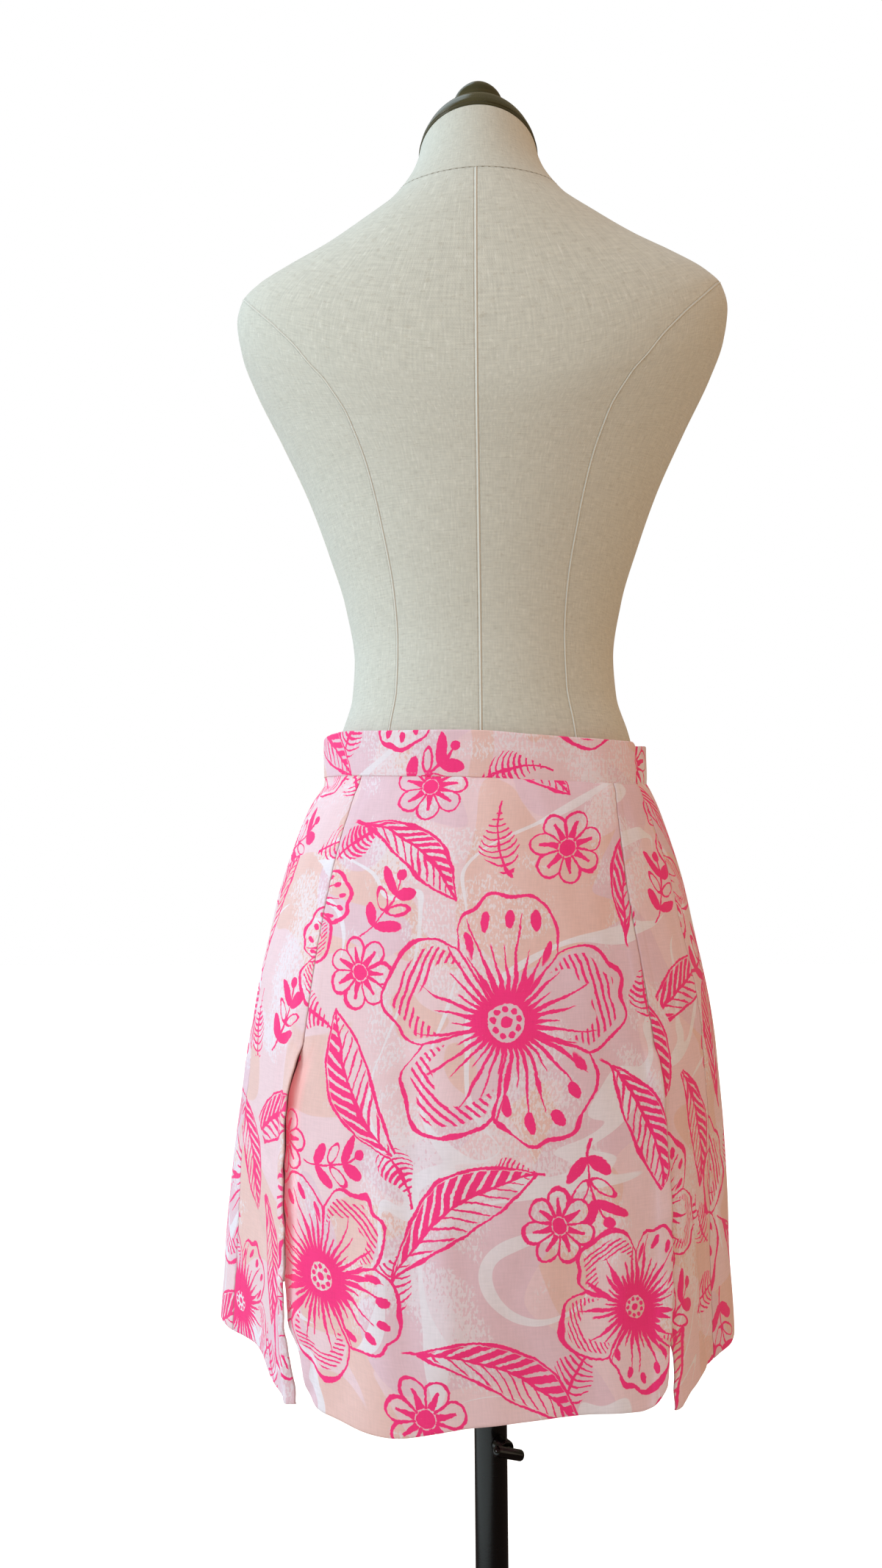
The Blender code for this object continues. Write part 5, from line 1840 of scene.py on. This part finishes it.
def black_enamel(name, roughness):
    """Black enamel on steel: a fine orange-peel surface with faint rubbed rings."""
    material, tree, shader = new_material(name)
    place = object_place(tree)
    peel = noise(place, 900.0, 2.0, flat=False)[0]
    rubbed = noise(place_math("MULTIPLY", place, (6.0, 6.0, 420.0)), 1.0, 3.0, 0.7, flat=False)[0]
    wear = rising(rubbed, 0.58, 0.80)
    colour = blend_colour(wear * 0.5, (0.0025, 0.0022, 0.0022, 1.0), (0.014, 0.012, 0.010, 1.0))
    feed(tree, shader.inputs["Base Color"], colour)
    feed(tree, shader.inputs["Roughness"], wear * 0.14 + peel * 0.05 + roughness)
    shader.inputs["Coat Weight"].default_value = 0.15
    shader.inputs["Coat Roughness"].default_value = 0.15
    set_bump(tree, shader, peel + rubbed * 0.5, 0.00006)
    return material


def hook_steel():
    """Pressed, brushed steel."""
    material, tree, shader = new_material("hook_steel")
    place = object_place(tree)
    brushed = noise(place_math("MULTIPLY", place, (1.0, 1.0, 12.0)), 400.0, 3.0, 0.6, flat=False)[0]
    colour = blend_colour(brushed, (0.45, 0.45, 0.46, 1.0), (0.62, 0.62, 0.62, 1.0))
    feed(tree, shader.inputs["Base Color"], colour)
    feed(tree, shader.inputs["Roughness"], brushed * 0.20 + 0.24)
    shader.inputs["Metallic"].default_value = 1.0
    set_bump(tree, shader, brushed, 0.00003)
    return material


def sewing_thread(name, colour):
    """Twisted thread, with a fine random darker mottle."""
    material, tree, shader = new_material(name)
    place = object_place(tree)
    fibre = noise(place, 2600.0, 2.0, flat=False)[0]
    darker = tuple(0.75 * part for part in colour)
    feed(tree, shader.inputs["Base Color"], blend_colour(fibre, (*colour, 1.0), (*darker, 1.0)))
    shader.inputs["Roughness"].default_value = 0.7
    set_bump(tree, shader, fibre, 0.00008)
    return material


def pale_floor():
    """A matt floor, white to the camera. In glossy reflections it shows a painted pool of window light to the
    left and is painted dark elsewhere.
    """
    material, tree, shader = new_material("pale_floor")
    place = object_place(tree)
    shade = noise(place, 3.0, 2.0, flat=False)[0] * 0.06 + 0.97
    # Painted light: a bright pool towards the left and painted dark elsewhere, seen only in glossy
    # reflections
    painted_window_pool = lies_towards(place, (-0.83, -0.55, 0.0), 0.44, 0.84)
    mirrored = blend_colour(painted_window_pool, (0.07, 0.040, 0.030, 1.0), (0.82, 0.90, 0.87, 1.0))
    rays = tree.nodes.new("ShaderNodeLightPath").outputs
    tone = blend_colour(Wire(tree, rays["Is Glossy Ray"]), (0.53, 0.48, 0.42, 1.0), mirrored)
    feed(tree, shader.inputs["Base Color"], toned(tone, shade))
    shader.inputs["Roughness"].default_value = 0.9
    shader.inputs["Emission Color"].default_value = (1.0, 1.0, 1.0, 1.0)
    tree.links.new(rays["Is Camera Ray"], shader.inputs["Emission Strength"])
    return material


def add_camera():
    """The camera at the photo's place and angle."""
    yaw, pitch, roll = (math.radians(turn) for turn in (VIEW_YAW, VIEW_PITCH, VIEW_ROLL))
    level = Vector((-math.sin(yaw), math.cos(yaw), 0.0))
    right = Vector((math.cos(yaw), math.sin(yaw), 0.0))
    forward = level * math.cos(pitch) + Vector((0.0, 0.0, math.sin(pitch)))
    up = right.cross(forward)
    rolled_right = right * math.cos(roll) - up * math.sin(roll)
    rolled_up = up * math.cos(roll) + right * math.sin(roll)
    data = bpy.data.cameras.new("photo_view")
    data.sensor_width = SENSOR_HEIGHT
    data.lens = FOCAL_PIXELS / PHOTO_HEIGHT * SENSOR_HEIGHT
    data.clip_start = 0.05
    camera = bpy.data.objects.new("photo_view", data)
    turn = Matrix((rolled_right, rolled_up, -forward)).transposed()
    camera.matrix_world = Matrix.Translation(VIEW_PLACE) @ turn.to_4x4()
    bpy.context.scene.collection.objects.link(camera)
    bpy.context.scene.camera = camera


def add_light(name, place, target, width, height, watts, colour):
    """A rectangular light that faces its target."""
    data = bpy.data.lights.new(name, "AREA")
    data.shape = "RECTANGLE"
    data.size, data.size_y = width, height
    data.energy = watts
    data.color = colour
    light = bpy.data.objects.new(name, data)
    light.location = place
    light.rotation_euler = (Vector(target) - Vector(place)).to_track_quat("-Z", "Y").to_euler()
    bpy.context.scene.collection.objects.link(light)


WARM_LIGHT = (0.62, 0.375, 0.19, 1.0)
COOL_LIGHT = (1.06, 1.35, 1.62, 1.0)
MIRRORED_ROOM = (0.17, 0.145, 0.095, 1.0)
MIRRORED_PANE = (0.62, 0.72, 0.76, 1.0)


def add_surround():
    """A white surround. It lights the object cool and bright from the left, warm and dim from the right.

    Glossy surfaces mirror a dim room with one bright window pane.
    """
    world = bpy.data.worlds.new("studio")
    world.use_nodes = True
    bpy.context.scene.world = world
    tree = world.node_tree
    seen = tree.nodes["Background"]
    seen.inputs["Color"].default_value = (1.0, 1.0, 1.0, 1.0)
    seen.inputs["Strength"].default_value = 1.0
    cast = tree.nodes.new("ShaderNodeBackground")
    towards = Wire(tree, tree.nodes.new("ShaderNodeTexCoord").outputs["Generated"])
    share = lies_towards(towards, (-0.95, -0.05, 0.30), -0.42, 0.92)
    feed(tree, cast.inputs["Color"], blend_colour(share, WARM_LIGHT, COOL_LIGHT))
    pane = lies_towards(towards, (-0.42, 0.50, 0.76), 0.925, 0.950)
    mirrored = tree.nodes.new("ShaderNodeBackground")
    feed(tree, mirrored.inputs["Color"], blend_colour(pane, MIRRORED_ROOM, MIRRORED_PANE))
    rays = tree.nodes.new("ShaderNodeLightPath")
    last = cast
    for ray, shown in (("Is Glossy Ray", mirrored), ("Is Camera Ray", seen)):
        mixed = tree.nodes.new("ShaderNodeMixShader")
        tree.links.new(rays.outputs[ray], mixed.inputs["Fac"])
        tree.links.new(last.outputs[0], mixed.inputs[1])
        tree.links.new(shown.outputs["Background"], mixed.inputs[2])
        last = mixed
    tree.links.new(last.outputs["Shader"], tree.nodes["World Output"].inputs["Surface"])


def add_studio():
    """A pale floor, a white surround, a large cool window light from the left and a weak warm one."""
    floor = sheet_mesh("floor", np.array([[(x, y, -0.0002) for x in (-6.0, 6.0)] for y in (9.0, -3.0)]))
    add_piece("floor", floor, pale_floor())
    bpy.context.scene.view_settings.view_transform = "Standard"
    add_surround()
    add_light("window", (-2.5, -1.2, 1.9), (0.0, 0.0, 0.85), 0.8, 1.4, 24.0, (0.90, 0.96, 1.0))
    add_light("warm_fill", (2.4, -0.6, 1.2), (0.0, 0.0, 0.9), 1.0, 1.6, 2.5, (1.0, 0.80, 0.62))


def make_finishes():
    """Every finish by name. The effects that several share are built once."""
    groups = {"ink": ink_group(), "ground": ground_group(), "weave": weave_group(), "seam": seam_group()}
    return {
        "printed_cotton": printed_cotton("printed_cotton", groups, 1.0),
        "printed_reverse": printed_cotton("printed_cotton_reverse", groups, 0.45),
        "plain_cotton": plain_cotton("plain_cotton", groups, (0.86, 0.62, 0.62)),
        "linen": form_linen(groups),
        "lacquer": olive_lacquer(),
        "enamel": black_enamel("black_enamel", 0.22),
        "clamp_gloss": black_enamel("glossy_black_enamel", 0.07),
        "steel": hook_steel(),
        "pink_thread": sewing_thread("pink_thread", (0.90, 0.66, 0.68)),
        "dark_thread": sewing_thread("dark_linen_thread", (0.30, 0.25, 0.16)),
        "linen_thread": sewing_thread("linen_thread", (0.82, 0.78, 0.66)),
    }


def main():
    """Builds every piece, sews the lines, and sets up the studio and the photo's view."""
    finishes = make_finishes()
    for panel in SKIRT_PANELS:
        make_skirt_panel(panel, finishes["printed_cotton"], finishes["printed_reverse"])
    make_waistband(finishes["printed_cotton"])
    for side in ("left", "right"):
        make_shorts_leg(side, finishes["plain_cotton"])
    make_torso(finishes["linen"])
    make_neck_cap(finishes["lacquer"])
    make_neck_knob(finishes["lacquer"])
    for make in (make_base, make_tube, make_rod):
        make(finishes["enamel"])
    make_boss(finishes["clamp_gloss"])
    make_bar(finishes["clamp_gloss"])
    sew_lines(finishes)
    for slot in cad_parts["waist_hook"].material_slots:
        slot.material = finishes["steel"]
    add_studio()
    add_camera()


main()
